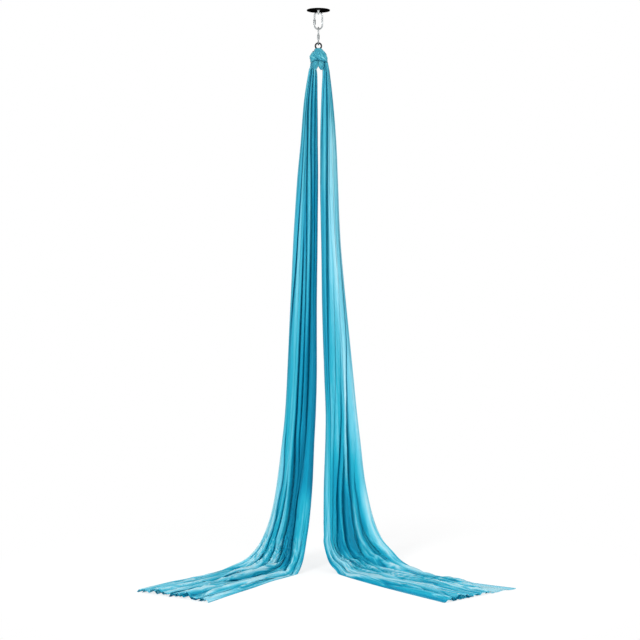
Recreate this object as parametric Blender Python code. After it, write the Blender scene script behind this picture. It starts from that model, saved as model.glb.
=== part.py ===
"""Aerial silks: a ceiling plate with an eye, two oval screw-gate carabiners, a rescue
figure-of-eight, and one length of nylon tricot hitched on it, whose halves hang and trail.

Metres, +Z up. The origin is the centre of the plate's top face, which lies on the ceiling.
X runs to the right as the silks are seen from the front, and Y runs away from the viewer.
"""

import math

import bmesh
import bpy
from mathutils import Matrix, Vector

# Room and shared clearances
ceiling_height = 3.630
gap = 0.0003
cut_overrun = 0.004
round_sides = 24
small_round_sides = 16

# Ceiling plate
plate_diameter = 0.150
plate_thickness = 0.005
plate_hole_count = 4
plate_hole_diameter = 0.0085
plate_hole_circle_diameter = 0.110

# Eye under the plate, a bent bar
eye_bar_diameter = 0.011
eye_width = 0.040
eye_corner_radius = 0.012
eye_drop = 0.019
eye_weld_height = 0.004
eye_weld_spread = 0.003

# Oval carabiner
carabiner_width = 0.060
carabiner_length = 0.120
carabiner_bar_diameter = 0.010
gate_hinge_below_centre = 0.035
nose_end_above_centre = 0.0153
frame_end_below_hinge = 0.006
tongue_thickness = 0.0036
tongue_reach = 0.0083
tongue_width = 0.006
nose_gap = 0.0008
hinge_boss_radius = 0.0045
hinge_pin_diameter = 0.004
latch_pin_diameter = 0.0024
latch_pin_below_nose = 0.0053
latch_notch_clearance = 0.0005
gate_slot_clearance = 0.0006

# Screw sleeve on the gate
sleeve_outer_diameter = 0.016
sleeve_length = 0.031
sleeve_above_hinge = 0.0095
sleeve_ridge_depth = 0.0006
sleeve_ridge_count = 20

# Spring and plunger in the gate
gate_bore_diameter = 0.0044
plunger_length = 0.0072
spring_length = 0.016
spring_wire_diameter = 0.0006
spring_turn_count = 6

# Rescue eight
eight_bar_diameter = 0.011
eight_small_ring_radius = 0.0195
eight_large_ring_radius = 0.0355
eight_neck_length = 0.014
eight_neck_width = 0.018
eight_neck_thickness = 0.0092
eight_ear_diameter = 0.0084
eight_ear_reach = 0.051
eight_ear_angle = math.radians(45)

# Tied cloth around the eight
hitch_half_width = 0.058
hitch_half_depth = 0.031
hitch_height = 0.140
hitch_top_below_small_ring = 0.015
hitch_cloth_clearance = 0.0005
hitch_hood_height = 0.076
hitch_hood_slope_share = 0.2
hitch_seam = 0.0008
hitch_fold_count = 10
hitch_fold_share = 0.13
hitch_fullness_share = 0.8
hitch_ring_points = 40
lobe_clearance = 0.001
# Each row: height share of the hood from its top down, half width and half depth as shares
hood_shares = (
    (0.0, 0.28, 0.42),
    (0.06, 0.42, 0.60),
    (0.17, 0.58, 0.78),
    (0.34, 0.78, 0.92),
    (0.55, 0.93, 1.0),
    (0.80, 1.0, 1.0),
    (1.2, 1.0, 0.98),
)
# Each row: height share from the hood's edge down to the shelf, outer edge and half depth as shares
turn_shares = (
    (0.0, 0.97, 0.97),
    (1.0, 0.94, 0.94),
)
# Each row: height share from the shelf down to the lobe's bottom, inner edge, outer edge, depth
lobe_shares = (
    (0.0, 0.012, 0.90, 0.92),
    (0.3, 0.015, 0.82, 0.90),
    (0.6, 0.04, 0.72, 0.80),
    (0.85, 0.12, 0.61, 0.62),
    (1.0, 0.24, 0.50, 0.40),
)

# Hanging silks
silk_top_radius = 0.024
silk_top_offset = 0.038
silk_top_depth = 0.034
silk_depth = 0.105
left_reach_out = 1.096
left_reach_forward = 0.944
right_reach_out = 1.210
right_reach_forward = 0.949
silk_lobe_count = 6
silk_lobe_depth_share = 0.42
silk_fullness_share = 2.6
silk_stations = 44
# Edges of each silk from the top down: height above the floor as a share of the pivot's height,
# near edge out and forward, far edge out and forward, as shares of the silk's own reach,
# and the depth across the folds as a share of silk_depth. Out is away from the middle.
left_edge_shares = (
    (0.988, 0.006, -0.026, 0.068, -0.027, 0.42),
    (0.932, 0.010, -0.008, 0.081, -0.010, 0.58),
    (0.853, 0.003, 0.000, 0.110, -0.006, 0.76),
    (0.773, 0.000, 0.000, 0.122, -0.006, 0.86),
    (0.654, 0.005, 0.003, 0.149, -0.009, 0.95),
    (0.534, 0.009, 0.010, 0.165, -0.012, 1.0),
    (0.395, 0.011, 0.022, 0.184, -0.018, 1.0),
    (0.315, 0.017, 0.034, 0.198, -0.021, 1.0),
    (0.255, 0.025, 0.048, 0.216, -0.022, 1.0),
    (0.185, 0.034, 0.069, 0.242, -0.020, 1.0),
    (0.136, 0.045, 0.090, 0.265, -0.014, 0.98),
    (0.096, 0.057, 0.111, 0.295, -0.004, 0.95),
    (0.061, 0.073, 0.134, 0.338, 0.014, 0.90),
    (0.038, 0.092, 0.158, 0.390, 0.040, 0.80),
    (0.022, 0.118, 0.186, 0.455, 0.080, 0.68),
    (0.013, 0.165, 0.245, 0.545, 0.155, 0.56),
    (0.0085, 0.265, 0.410, 0.660, 0.285, 0.48),
    (0.0075, 0.365, 0.600, 0.780, 0.430, 0.43),
    (0.0065, 0.480, 0.800, 0.895, 0.575, 0.38),
    (0.0055, 0.585, 1.000, 1.000, 0.716, 0.32),
)
right_edge_shares = (
    (0.988, 0.022, -0.026, 0.064, -0.027, 0.42),
    (0.932, 0.017, -0.008, 0.082, -0.010, 0.58),
    (0.853, 0.010, 0.000, 0.098, -0.006, 0.76),
    (0.773, 0.010, 0.000, 0.107, -0.006, 0.86),
    (0.654, 0.016, 0.003, 0.121, -0.009, 0.95),
    (0.534, 0.020, 0.010, 0.148, -0.012, 1.0),
    (0.395, 0.032, 0.022, 0.186, -0.018, 1.0),
    (0.315, 0.040, 0.034, 0.207, -0.021, 1.0),
    (0.255, 0.038, 0.048, 0.226, -0.022, 1.0),
    (0.185, 0.031, 0.069, 0.248, -0.020, 1.0),
    (0.136, 0.029, 0.090, 0.274, -0.014, 0.98),
    (0.096, 0.029, 0.111, 0.302, -0.004, 0.95),
    (0.061, 0.033, 0.134, 0.345, 0.014, 0.90),
    (0.038, 0.042, 0.158, 0.402, 0.036, 0.80),
    (0.022, 0.060, 0.190, 0.455, 0.075, 0.68),
    (0.013, 0.105, 0.250, 0.525, 0.150, 0.56),
    (0.0085, 0.205, 0.390, 0.640, 0.300, 0.48),
    (0.0075, 0.335, 0.590, 0.760, 0.420, 0.43),
    (0.0065, 0.475, 0.800, 0.880, 0.520, 0.38),
    (0.0055, 0.611, 1.000, 1.000, 0.611, 0.32),
)
silk_end_shares = (0.99, 0.93, 0.78, 0.55, 0.25)

# Places that follow from the sizes above
bar_radius = carabiner_bar_diameter / 2
carabiner_side = carabiner_width / 2 - bar_radius
carabiner_arc_centre = carabiner_length / 2 - bar_radius - carabiner_side
eye_pivot_z = -plate_thickness - eye_drop
eye_to_carabiner = eye_bar_diameter / 2 + bar_radius + gap
upper_centre_below_pivot = carabiner_length / 2 - bar_radius - eye_to_carabiner
lower_pivot_z = eye_pivot_z + eye_to_carabiner - carabiner_length + carabiner_bar_diameter
carabiner_to_carabiner = carabiner_bar_diameter + gap
lower_centre_below_pivot = carabiner_length / 2 - bar_radius - carabiner_to_carabiner
eight_pivot_z = lower_pivot_z + carabiner_to_carabiner - carabiner_length + carabiner_bar_diameter
eight_radius = eight_bar_diameter / 2
eight_small_z = eight_pivot_z + bar_radius + gap + eight_radius - eight_small_ring_radius
eight_large_z = (
    eight_small_z - eight_small_ring_radius - eight_neck_length - eight_large_ring_radius
)
hitch_top_z = eight_small_z - hitch_top_below_small_ring
hitch_shelf_z = eight_large_z - eight_large_ring_radius - eight_radius - hitch_cloth_clearance
hitch_bottom_z = hitch_top_z - hitch_height
hitch_seam_z = hitch_top_z - hitch_hood_height
silk_pivot_z = hitch_shelf_z - hitch_seam - gap - silk_top_radius
floor_z = -ceiling_height


def start_scene():
    """Removes what the scene holds and makes the part's collections."""
    for old in list(bpy.data.objects):
        bpy.data.objects.remove(old)
    made = {}
    for name in ("aerial_silks", "cutters"):
        made[name] = bpy.data.collections.new(name)
        bpy.context.scene.collection.children.link(made[name])
    return made


collections = start_scene()


def material(name, colour, roughness, metallic):
    """A plain finish for one kind of piece."""
    made = bpy.data.materials.new(name)
    made.use_nodes = True
    shader = made.node_tree.nodes["Principled BSDF"]
    shader.inputs["Base Color"].default_value = (*colour, 1)
    shader.inputs["Roughness"].default_value = roughness
    shader.inputs["Metallic"].default_value = metallic
    return made


polished_black = material("polished_black_steel", (0.02, 0.022, 0.02), 0.15, 0.8)
bright_steel = material("bright_steel", (0.55, 0.56, 0.56), 0.25, 1.0)
spring_steel = material("spring_steel", (0.35, 0.35, 0.36), 0.35, 1.0)
black_anodised = material("black_anodised_aluminium", (0.024, 0.032, 0.03), 0.35, 0.6)
tricot = material("nylon_tricot", (0.05, 0.45, 0.6), 0.6, 0.0)


def pivot(name, place, turn=0.0):
    """An empty on a joint's axis, which the moving pieces hang under."""
    empty = bpy.data.objects.new(name, None)
    empty.location = place
    empty.rotation_euler = (0, 0, turn)
    collections["aerial_silks"].objects.link(empty)
    return empty


def place(name, mesh, look, parent=None, cutter=False):
    """Puts a mesh in the scene under its own name."""
    made = bpy.data.objects.new(name, mesh)
    collections["cutters" if cutter else "aerial_silks"].objects.link(made)
    if look is not None:
        mesh.materials.append(look)
    made.parent = parent
    if cutter:
        made.hide_render = True
        made.display_type = "WIRE"
    else:
        mesh.shade_smooth()
        mesh.set_sharp_from_angle(angle=math.radians(35))
    return made


def finished(bm, name):
    """A bmesh as a mesh, with its faces turned outwards."""
    bmesh.ops.recalc_face_normals(bm, faces=bm.faces)
    mesh = bpy.data.meshes.new(name)
    bm.to_mesh(mesh)
    bm.free()
    return mesh


def rod(name, radius, length, centre=(0, 0, 0), axis="Z", sides=round_sides):
    """A closed cylinder along X, Y or Z."""
    bm = bmesh.new()
    bmesh.ops.create_cone(
        bm, cap_ends=True, segments=sides, radius1=radius, radius2=radius, depth=length
    )
    turned = {
        "X": Matrix.Rotation(math.pi / 2, 4, "Y"),
        "Y": Matrix.Rotation(math.pi / 2, 4, "X"),
        "Z": Matrix.Identity(4),
    }
    bmesh.ops.transform(bm, matrix=Matrix.Translation(centre) @ turned[axis], verts=bm.verts)
    return finished(bm, name)


def block(name, size, centre):
    """A closed box."""
    bm = bmesh.new()
    bmesh.ops.create_cube(bm, size=1)
    bmesh.ops.scale(bm, vec=size, verts=bm.verts)
    bmesh.ops.translate(bm, vec=centre, verts=bm.verts)
    return finished(bm, name)


def tube(name, points, radius, closed=False, round_steps=3):
    """A round bar along a list of points, as a mesh with its caps welded."""
    line = bpy.data.curves.new(name, "CURVE")
    line.dimensions = "3D"
    line.bevel_depth = radius
    line.bevel_resolution = round_steps
    line.use_fill_caps = not closed
    spline = line.splines.new("POLY")
    spline.points.add(len(points) - 1)
    for knot, spot in zip(spline.points, points):
        knot.co = (*spot, 1)
    spline.use_cyclic_u = closed
    guide = bpy.data.objects.new(name, line)
    collections["cutters"].objects.link(guide)
    bpy.context.view_layer.update()
    graph = bpy.context.evaluated_depsgraph_get()
    mesh = bpy.data.meshes.new_from_object(guide.evaluated_get(graph))
    bpy.data.objects.remove(guide)
    bm = bmesh.new()
    bm.from_mesh(mesh)
    bmesh.ops.remove_doubles(bm, verts=bm.verts, dist=radius / 1000)
    return finished(bm, name)


def combine(target, mesh, operation):
    """Joins or cuts a piece with another mesh, by a Boolean modifier."""
    tool = place(f"{target.name}_tool_{len(target.modifiers)}", mesh, None, target.parent, True)
    boolean(target, tool, operation)


def boolean(target, tool, operation):
    """A Boolean modifier between two objects."""
    step = target.modifiers.new(operation.lower(), "BOOLEAN")
    step.operation = operation
    step.object = tool


def arc(centre_a, centre_b, radius, first, last, steps):
    """Points on an arc in a plane, from one angle to another, ends included."""
    turn = [first + (last - first) * i / steps for i in range(steps + 1)]
    return [(centre_a + radius * math.cos(t), centre_b + radius * math.sin(t)) for t in turn]


def make_ceiling_plate():
    """The disc, with a ring of screw holes."""
    plate = place(
        "ceiling_plate",
        rod("ceiling_plate", plate_diameter / 2, plate_thickness, (0, 0, -plate_thickness / 2), sides=64),
        polished_black,
    )
    for i in range(plate_hole_count):
        turn = math.pi / plate_hole_count + i * 2 * math.pi / plate_hole_count
        reach = plate_hole_circle_diameter / 2
        spot = (reach * math.cos(turn), reach * math.sin(turn), -plate_thickness / 2)
        depth = plate_thickness + cut_overrun
        hole = rod("plate_hole", plate_hole_diameter / 2, depth, spot, sides=small_round_sides)
        combine(plate, hole, "DIFFERENCE")


def make_hanger_eye():
    """The bent bar under the plate, in the Y-Z plane, with its weld at each foot."""
    top = -plate_thickness - gap
    leg = eye_width / 2
    corner = eye_corner_radius
    left = arc(corner - leg, eye_pivot_z + corner, corner, math.pi, 1.5 * math.pi, 6)
    right = arc(leg - corner, eye_pivot_z + corner, corner, 1.5 * math.pi, 2 * math.pi, 6)
    line = [(0, -leg, top)] + [(0, y, z) for y, z in left + right] + [(0, leg, top)]
    eye = place("hanger_eye", tube("hanger_eye", line, eye_bar_diameter / 2), bright_steel)
    for side in (-1, 1):
        bm = bmesh.new()
        foot = eye_bar_diameter / 2
        bmesh.ops.create_cone(
            bm, cap_ends=True, segments=round_sides, radius1=foot, radius2=foot + eye_weld_spread,
            depth=eye_weld_height,
        )
        bmesh.ops.translate(bm, vec=(0, side * leg, top - eye_weld_height / 2), verts=bm.verts)
        combine(eye, finished(bm, "eye_weld"), "UNION")


def carabiner_line(centre_z):
    """The frame bar's centreline, from the nose over the top and round to the hinge end."""
    side = carabiner_side
    high = centre_z + carabiner_arc_centre
    low = centre_z - carabiner_arc_centre
    end_drop = gate_hinge_below_centre + frame_end_below_hinge - carabiner_arc_centre
    end_turn = math.pi + math.asin(end_drop / side)
    over = arc(0, high, side, math.pi, 0, 12)
    under = arc(0, low, side, 2 * math.pi, end_turn, 12)
    nose = [(-side, centre_z + nose_end_above_centre)]
    return [(x, 0, z) for x, z in nose + over + under]


def make_carabiner(prefix, parent, centre_z):
    """One carabiner in its own X-Z plane, with the gate on the -X side, under its pivot."""
    side = carabiner_side
    hinge_z = centre_z - gate_hinge_below_centre
    nose_z = centre_z + nose_end_above_centre
    gate_top = nose_z - nose_gap
    tongue_end = nose_z - tongue_reach
    pin_z = nose_z - latch_pin_below_nose
    slot_width = tongue_thickness + 2 * gap
    frame = place(
        f"{prefix}_carabiner_frame",
        tube(f"{prefix}_carabiner_frame", carabiner_line(centre_z), bar_radius),
        bright_steel,
        parent,
    )
    tongue_top = nose_z + bar_radius
    tongue_mid = (tongue_top + tongue_end) / 2
    tongue = block(
        "nose_tongue", (tongue_width, tongue_thickness, tongue_top - tongue_end), (-side, 0, tongue_mid)
    )
    combine(frame, tongue, "UNION")
    notch_height = latch_pin_diameter + 2 * latch_notch_clearance
    notch_start = -side - latch_pin_diameter / 2 - latch_notch_clearance
    notch_end = -side + tongue_width / 2 + cut_overrun
    notch = block(
        "latch_notch",
        (notch_end - notch_start, tongue_thickness + cut_overrun, notch_height),
        ((notch_start + notch_end) / 2, 0, pin_z),
    )
    combine(frame, notch, "DIFFERENCE")
    boss = rod("hinge_boss", hinge_boss_radius, tongue_thickness, (-side, 0, hinge_z), "Y")
    combine(frame, boss, "UNION")
    web_low = hinge_z - frame_end_below_hinge - bar_radius / 2
    web_shift = bar_radius / 4
    web = block(
        "hinge_web",
        (hinge_boss_radius * 2 - web_shift, tongue_thickness, hinge_z - web_low),
        (-side + web_shift, 0, (hinge_z + web_low) / 2),
    )
    combine(frame, web, "UNION")
    pin_hole = hinge_pin_diameter / 2 + gap
    hole_length = tongue_thickness + cut_overrun
    hole = rod("hinge_hole", pin_hole, hole_length, (-side, 0, hinge_z), "Y", small_round_sides)
    combine(frame, hole, "DIFFERENCE")

    hinge = pivot(f"{prefix}_gate_hinge", (-side, 0, hinge_z))
    hinge.parent = parent
    make_gate(prefix, hinge, gate_top - hinge_z, tongue_end - hinge_z, pin_z - hinge_z, slot_width)


def make_gate(prefix, hinge, top, tongue_end, pin_z, slot_width):
    """The gate and what it carries. Heights are measured up from the hinge pin's axis."""
    fork = hinge_boss_radius + gap
    gate = place(
        f"{prefix}_gate",
        rod(f"{prefix}_gate", bar_radius, top, (0, 0, top / 2)),
        bright_steel,
        hinge,
    )
    root_width = carabiner_bar_diameter - 4 * gap
    combine(gate, rod("gate_root", bar_radius - gap, root_width, (0, 0, 0), "Y", 26), "UNION")
    slots = (
        (-bar_radius - cut_overrun, fork + gap),
        (tongue_end - gate_slot_clearance, top + cut_overrun),
    )
    for low, high in slots:
        slot = block(
            "gate_slot",
            (carabiner_bar_diameter + cut_overrun, slot_width, high - low),
            (0, 0, (low + high) / 2),
        )
        combine(gate, slot, "DIFFERENCE")
    plunger_low = hinge_boss_radius + gap
    spring_low = plunger_low + plunger_length + gap
    bore_top = spring_low + spring_length + gap
    bore = rod("gate_bore", gate_bore_diameter / 2, bore_top, (0, 0, bore_top / 2), sides=small_round_sides)
    combine(gate, bore, "DIFFERENCE")
    for diameter, height in ((hinge_pin_diameter, 0), (latch_pin_diameter, pin_z)):
        length = carabiner_bar_diameter + cut_overrun
        hole = rod("pin_hole", diameter / 2 + gap, length, (0, 0, height), "Y", small_round_sides)
        combine(gate, hole, "DIFFERENCE")
    pin_length = carabiner_bar_diameter - 2 * gap
    place(
        f"{prefix}_gate_hinge_pin",
        rod("hinge_pin", hinge_pin_diameter / 2, pin_length, (0, 0, 0), "Y", small_round_sides),
        spring_steel,
        hinge,
    )
    latch_length = 2 * math.sqrt(bar_radius**2 - latch_pin_diameter**2 / 4) - 2 * gap
    place(
        f"{prefix}_gate_latch_pin",
        rod("latch_pin", latch_pin_diameter / 2, latch_length, (0, 0, pin_z), "Y", small_round_sides),
        spring_steel,
        hinge,
    )
    plunger_mid = plunger_low + plunger_length / 2
    place(
        f"{prefix}_gate_plunger",
        rod(
            "plunger", gate_bore_diameter / 2 - gap, plunger_length, (0, 0, plunger_mid),
            sides=small_round_sides,
        ),
        spring_steel,
        hinge,
    )
    make_gate_spring(prefix, hinge, spring_low)
    make_sleeve(prefix, hinge)


def make_gate_spring(prefix, hinge, low):
    """The coil that presses the plunger on the hinge boss."""
    wire = spring_wire_diameter / 2
    coil = gate_bore_diameter / 2 - gap - wire
    steps = 8
    count = spring_turn_count * steps
    rise = spring_length - spring_wire_diameter
    line = []
    for i in range(count + 1):
        turn = 2 * math.pi * i / steps
        line.append((coil * math.cos(turn), coil * math.sin(turn), low + wire + rise * i / count))
    pitch = rise / spring_turn_count
    spare = (pitch - spring_wire_diameter) * 1000
    print(f"{prefix} gate spring: least gap between turns {spare:.2f} mm")
    place(f"{prefix}_gate_spring", tube("gate_spring", line, wire, False, 1), spring_steel, hinge)


def make_sleeve(prefix, hinge):
    """The screw sleeve: a ring with grip ridges round the gate."""
    outer = sleeve_outer_diameter / 2
    middle = sleeve_above_hinge + sleeve_length / 2
    bm = bmesh.new()
    bmesh.ops.create_cone(
        bm, cap_ends=True, segments=sleeve_ridge_count * 2, radius1=outer, radius2=outer,
        depth=sleeve_length,
    )
    for corner in bm.verts:
        turn = math.atan2(corner.co.y, corner.co.x) * sleeve_ridge_count / math.pi
        if round(turn) % 2:
            corner.co.x *= 1 - sleeve_ridge_depth / outer
            corner.co.y *= 1 - sleeve_ridge_depth / outer
    bmesh.ops.translate(bm, vec=(0, 0, middle), verts=bm.verts)
    sleeve = place(f"{prefix}_gate_sleeve", finished(bm, "sleeve"), bright_steel, hinge)
    bore = rod("sleeve_bore", bar_radius + gap, sleeve_length + cut_overrun, (0, 0, middle), sides=32)
    combine(sleeve, bore, "DIFFERENCE")


def eight_meshes(grow):
    """The eight's bars, in the X-Z plane, each made thicker by grow: rings, neck and ears."""
    radius = eight_radius + grow
    meshes = []
    rings = ((eight_small_z, eight_small_ring_radius, 24), (eight_large_z, eight_large_ring_radius, 32))
    for height, reach, steps in rings:
        round_line = [(x, 0, z) for x, z in arc(0, height, reach, 0, 2 * math.pi, steps)[:-1]]
        meshes.append(tube("eight_ring", round_line, radius, True))
    top = eight_small_z - eight_small_ring_radius
    bottom = eight_large_z + eight_large_ring_radius
    neck_height = top - bottom + eight_radius
    neck_size = (eight_neck_width + 2 * grow, eight_neck_thickness + 2 * grow, neck_height)
    meshes.append(block("eight_neck", neck_size, (0, 0, (top + bottom) / 2)))
    for side in (-1, 1):
        out = Vector((side * math.sin(eight_ear_angle), 0, math.cos(eight_ear_angle)))
        base = Vector((0, 0, eight_large_z)) + out * eight_large_ring_radius
        tip = Vector((0, 0, eight_large_z)) + out * (eight_ear_reach + grow)
        meshes.append(tube("eight_ear", [base, tip], eight_ear_diameter / 2 + grow))
    return meshes


def make_eight(name, look, hang, grow=0.0, cutter=False):
    """The figure-of-eight, its small ring on the lower carabiner's bottom bar."""
    first, *others = [shifted(mesh, hang) for mesh in eight_meshes(grow)]
    made = place(name, first, look, hang, cutter)
    for mesh in others:
        combine(made, mesh, "UNION")
    return made


def shifted(mesh, parent):
    """A mesh drawn in the part's own frame, moved into the frame of the pivot it hangs under."""
    mesh.transform(Matrix.Translation(-parent.matrix_world.translation))
    return mesh


def loft(name, rings):
    """A closed solid through rings of the same number of points, with both ends capped."""
    bm = bmesh.new()
    rows = [[bm.verts.new(spot) for spot in ring] for ring in rings]
    count = len(rings[0])
    for low, high in zip(rows, rows[1:]):
        for i in range(count):
            j = (i + 1) % count
            bm.faces.new((low[i], low[j], high[j], high[i]))
    bm.faces.new(rows[0][::-1])
    bm.faces.new(rows[-1])
    return finished(bm, name)


def hitch_ring(height, x_low, x_high, y_low, y_high, slope=0.0):
    """One outline of the tied cloth: an oval with soft folds, lower at its sides by the slope."""
    mid_x = (x_low + x_high) / 2
    mid_y = (y_low + y_high) / 2
    ring = []
    for i in range(hitch_ring_points):
        turn = 2 * math.pi * i / hitch_ring_points
        fold = 1 - hitch_fold_share * (0.5 - 0.5 * math.cos(hitch_fold_count * turn))
        across = math.copysign(abs(math.cos(turn)) ** hitch_fullness_share, math.cos(turn))
        along = math.copysign(abs(math.sin(turn)) ** hitch_fullness_share, math.sin(turn))
        x = mid_x + (x_high - x_low) / 2 * across * fold
        y = mid_y + (y_high - y_low) / 2 * along * fold
        ring.append((x, y, height - slope * x))
    return ring


def make_hitch(hang):
    """The cloth tied round the eight: a hood over it and a turn hanging on each side."""
    room = make_eight("room_for_eight", None, hang, hitch_cloth_clearance, True)
    wide = hitch_half_width
    deep = hitch_half_depth
    slope = hitch_hood_slope_share
    rings = []
    for share, half, depth in hood_shares:
        height = hitch_top_z - hitch_hood_height * share
        rings.append(hitch_ring(height, -wide * half, wide * half, -deep * depth, deep * depth))
    band = place("hitch_band", shifted(loft("hitch_band", rings), hang), tricot, hang)
    roof_low = hitch_seam_z - hitch_height
    reach = wide * 2
    gable = [(0, hitch_seam_z), (reach, hitch_seam_z - slope * reach)]
    gable += [(reach, roof_low), (-reach, roof_low), (-reach, hitch_seam_z - slope * reach)]
    ends = [[(x, y, z) for x, z in gable] for y in (-reach, reach)]
    edge = place("hood_edge", shifted(loft("hood_edge", ends), hang), None, hang, True)
    boolean(band, edge, "DIFFERENCE")
    boolean(band, room, "DIFFERENCE")
    turn_top = hitch_seam_z - hitch_seam
    turn_drop = turn_top - hitch_shelf_z
    lobe_drop = hitch_shelf_z - hitch_seam - hitch_bottom_z
    for side, word in ((-1, "left"), (1, "right")):
        rings = []
        for share, outer, depth in turn_shares:
            height = turn_top - turn_drop * share
            rings.append(
                hitch_ring(
                    height, hitch_seam, wide * outer, -deep * depth, deep * depth, slope * (1 - share)
                )
            )
        for share, inner, outer, depth in lobe_shares:
            height = hitch_shelf_z - hitch_seam - lobe_drop * share
            rings.append(
                hitch_ring(height, wide * inner, wide * outer, -deep * depth, -lobe_clearance)
            )
        if side < 0:
            rings = [[(-x, y, z) for x, y, z in ring] for ring in rings]
        name = f"hitch_{word}_turn"
        turn = place(name, shifted(loft(name, rings), hang), tricot, hang)
        boolean(turn, room, "DIFFERENCE")


def smooth_rows(rows, count):
    """Rows read at even steps from a smooth curve through the given ones."""
    made = []
    last = len(rows) - 1
    for i in range(count):
        place_on = last * i / (count - 1)
        k = min(int(place_on), last - 1)
        t = place_on - k
        before, a, b, after = (rows[max(0, min(last, k + j))] for j in (-1, 0, 1, 2))
        made.append(
            [
                0.5 * (2 * q + (r - p) * t + (2 * p - 5 * q + 4 * r - s) * t**2
                       + (3 * q - p - 3 * r + s) * t**3)
                for p, q, r, s in zip(before, a, b, after)
            ]
        )
    return made


def silk_outline(near, far, normal, depth):
    """One section of a silk: its folds on the face that normal points along and on the back."""
    steps = silk_lobe_count * 2
    spots = []
    for side in (1, -1):
        for i in range(steps + 1):
            share = i / steps
            if side < 0:
                share = 1 - share
            if share in (0, 1) and side < 0:
                continue
            hull = math.sqrt(1 - abs(2 * share - 1) ** silk_fullness_share)
            wave = side * math.cos(2 * math.pi * silk_lobe_count * share)
            fold = silk_lobe_depth_share * (1 - wave) / 2
            spots.append(near.lerp(far, share) + normal * side * depth / 2 * hull * (1 - fold))
    return spots


def make_silk(word, side, reach_out, reach_forward, shares):
    """One half of the cloth, from its rounded top at the hitch down to its hem on the floor."""
    top = Vector((side * silk_top_offset, silk_top_depth / 2 + lobe_clearance, silk_pivot_z))
    hang = pivot(f"{word}_silk_swing", top)
    bpy.context.view_layer.update()
    half = silk_top_radius
    rings = []
    for share in silk_end_shares:
        lift = half * share
        level = half * math.sqrt(1 - share**2)
        middle = top + Vector((0, 0, lift))
        rings.append(
            silk_outline(
                middle - Vector((side * level, 0, 0)), middle + Vector((side * level, 0, 0)),
                Vector((0, -1, 0)), silk_top_depth,
            )
        )
    height = silk_pivot_z - floor_z
    rows = [
        (
            1.0,
            (silk_top_offset - half) / reach_out,
            -top.y / reach_forward,
            (silk_top_offset + half) / reach_out,
            -top.y / reach_forward,
            silk_top_depth / silk_depth,
        ),
        *shares,
    ]
    edges = []
    for up, near_out, near_on, far_out, far_on, deep in smooth_rows(rows, silk_stations):
        level = floor_z + height * up
        near = Vector((side * near_out * reach_out, -near_on * reach_forward, level))
        far = Vector((side * far_out * reach_out, -far_on * reach_forward, level))
        edges.append((near, far, deep * silk_depth))
    for i, (near, far, depth) in enumerate(edges):
        before = edges[max(0, i - 1)]
        after = edges[min(len(edges) - 1, i + 1)]
        run = (after[0] + after[1] - before[0] - before[1]).normalized()
        across = (far - near).normalized()
        normal = run.cross(across).normalized() * side
        if i == 0:
            normal = Vector((0, -1, 0))
        rings.append(silk_outline(near, far, normal, depth))
    for ring in rings:
        for spot in ring:
            spot.z = max(spot.z, floor_z)
    name = f"{word}_silk"
    place(name, shifted(loft(name, rings), hang), tricot, hang)


make_ceiling_plate()
make_hanger_eye()
upper = pivot("upper_carabiner_pivot", (0, 0, eye_pivot_z))
make_carabiner("upper", upper, -upper_centre_below_pivot)
lower = pivot("lower_carabiner_pivot", (0, 0, lower_pivot_z), math.pi / 2)
make_carabiner("lower", lower, -lower_centre_below_pivot)
eight = pivot("rescue_eight_pivot", (0, 0, eight_pivot_z))
bpy.context.view_layer.update()
make_eight("rescue_eight", black_anodised, eight)
make_hitch(eight)
make_silk("left", -1, left_reach_out, left_reach_forward, left_edge_shares)
make_silk("right", 1, right_reach_out, right_reach_forward, right_edge_shares)
bpy.context.view_layer.update()
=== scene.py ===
import math

import bmesh
import bpy
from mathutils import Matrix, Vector, noise


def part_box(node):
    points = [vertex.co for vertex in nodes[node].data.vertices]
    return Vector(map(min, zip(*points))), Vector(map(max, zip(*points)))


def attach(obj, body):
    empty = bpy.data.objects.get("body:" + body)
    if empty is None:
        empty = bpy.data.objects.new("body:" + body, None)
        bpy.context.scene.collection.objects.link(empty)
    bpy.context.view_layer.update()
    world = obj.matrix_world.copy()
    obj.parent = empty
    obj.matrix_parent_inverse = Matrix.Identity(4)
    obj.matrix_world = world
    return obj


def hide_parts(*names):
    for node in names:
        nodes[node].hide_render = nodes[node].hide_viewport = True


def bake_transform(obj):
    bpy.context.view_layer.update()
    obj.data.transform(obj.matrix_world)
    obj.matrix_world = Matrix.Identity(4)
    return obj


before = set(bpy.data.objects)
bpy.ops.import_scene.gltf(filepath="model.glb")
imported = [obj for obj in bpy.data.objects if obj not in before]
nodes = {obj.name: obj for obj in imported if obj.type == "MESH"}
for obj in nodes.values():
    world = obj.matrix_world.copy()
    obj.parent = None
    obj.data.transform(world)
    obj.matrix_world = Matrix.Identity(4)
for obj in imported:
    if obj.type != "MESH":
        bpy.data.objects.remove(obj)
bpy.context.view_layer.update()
scene = bpy.context.scene
print("frame loaded:", len(nodes), "nodes")

room = {
    "floorZ": -3.63,              # the floor under the silks
    "floorSize": 60.0,
    "floorColour": "#FFFFFF",
    "background": "#FFFFFF",
    "skyLight": 0.60,             # what the white room gives the object
    "shadowReach": (0.9, 2.2),    # the floor's shadow fades to white between these radii
    "shadowStrength": 0.28,
}
view = {
    "place": (0.0104, -8.9, -1.68),
    "pitchDown": 2.08,            # degrees
    "lens": 76.95,
    "sensor": 36.0,
}


def linear(code):
    # a hex colour as written in a paint program, as linear light
    parts = [int(code[i:i + 2], 16) / 255 for i in (1, 3, 5)]
    return (*[c / 12.92 if c <= 0.04045 else ((c + 0.055) / 1.055) ** 2.4 for c in parts], 1)


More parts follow.
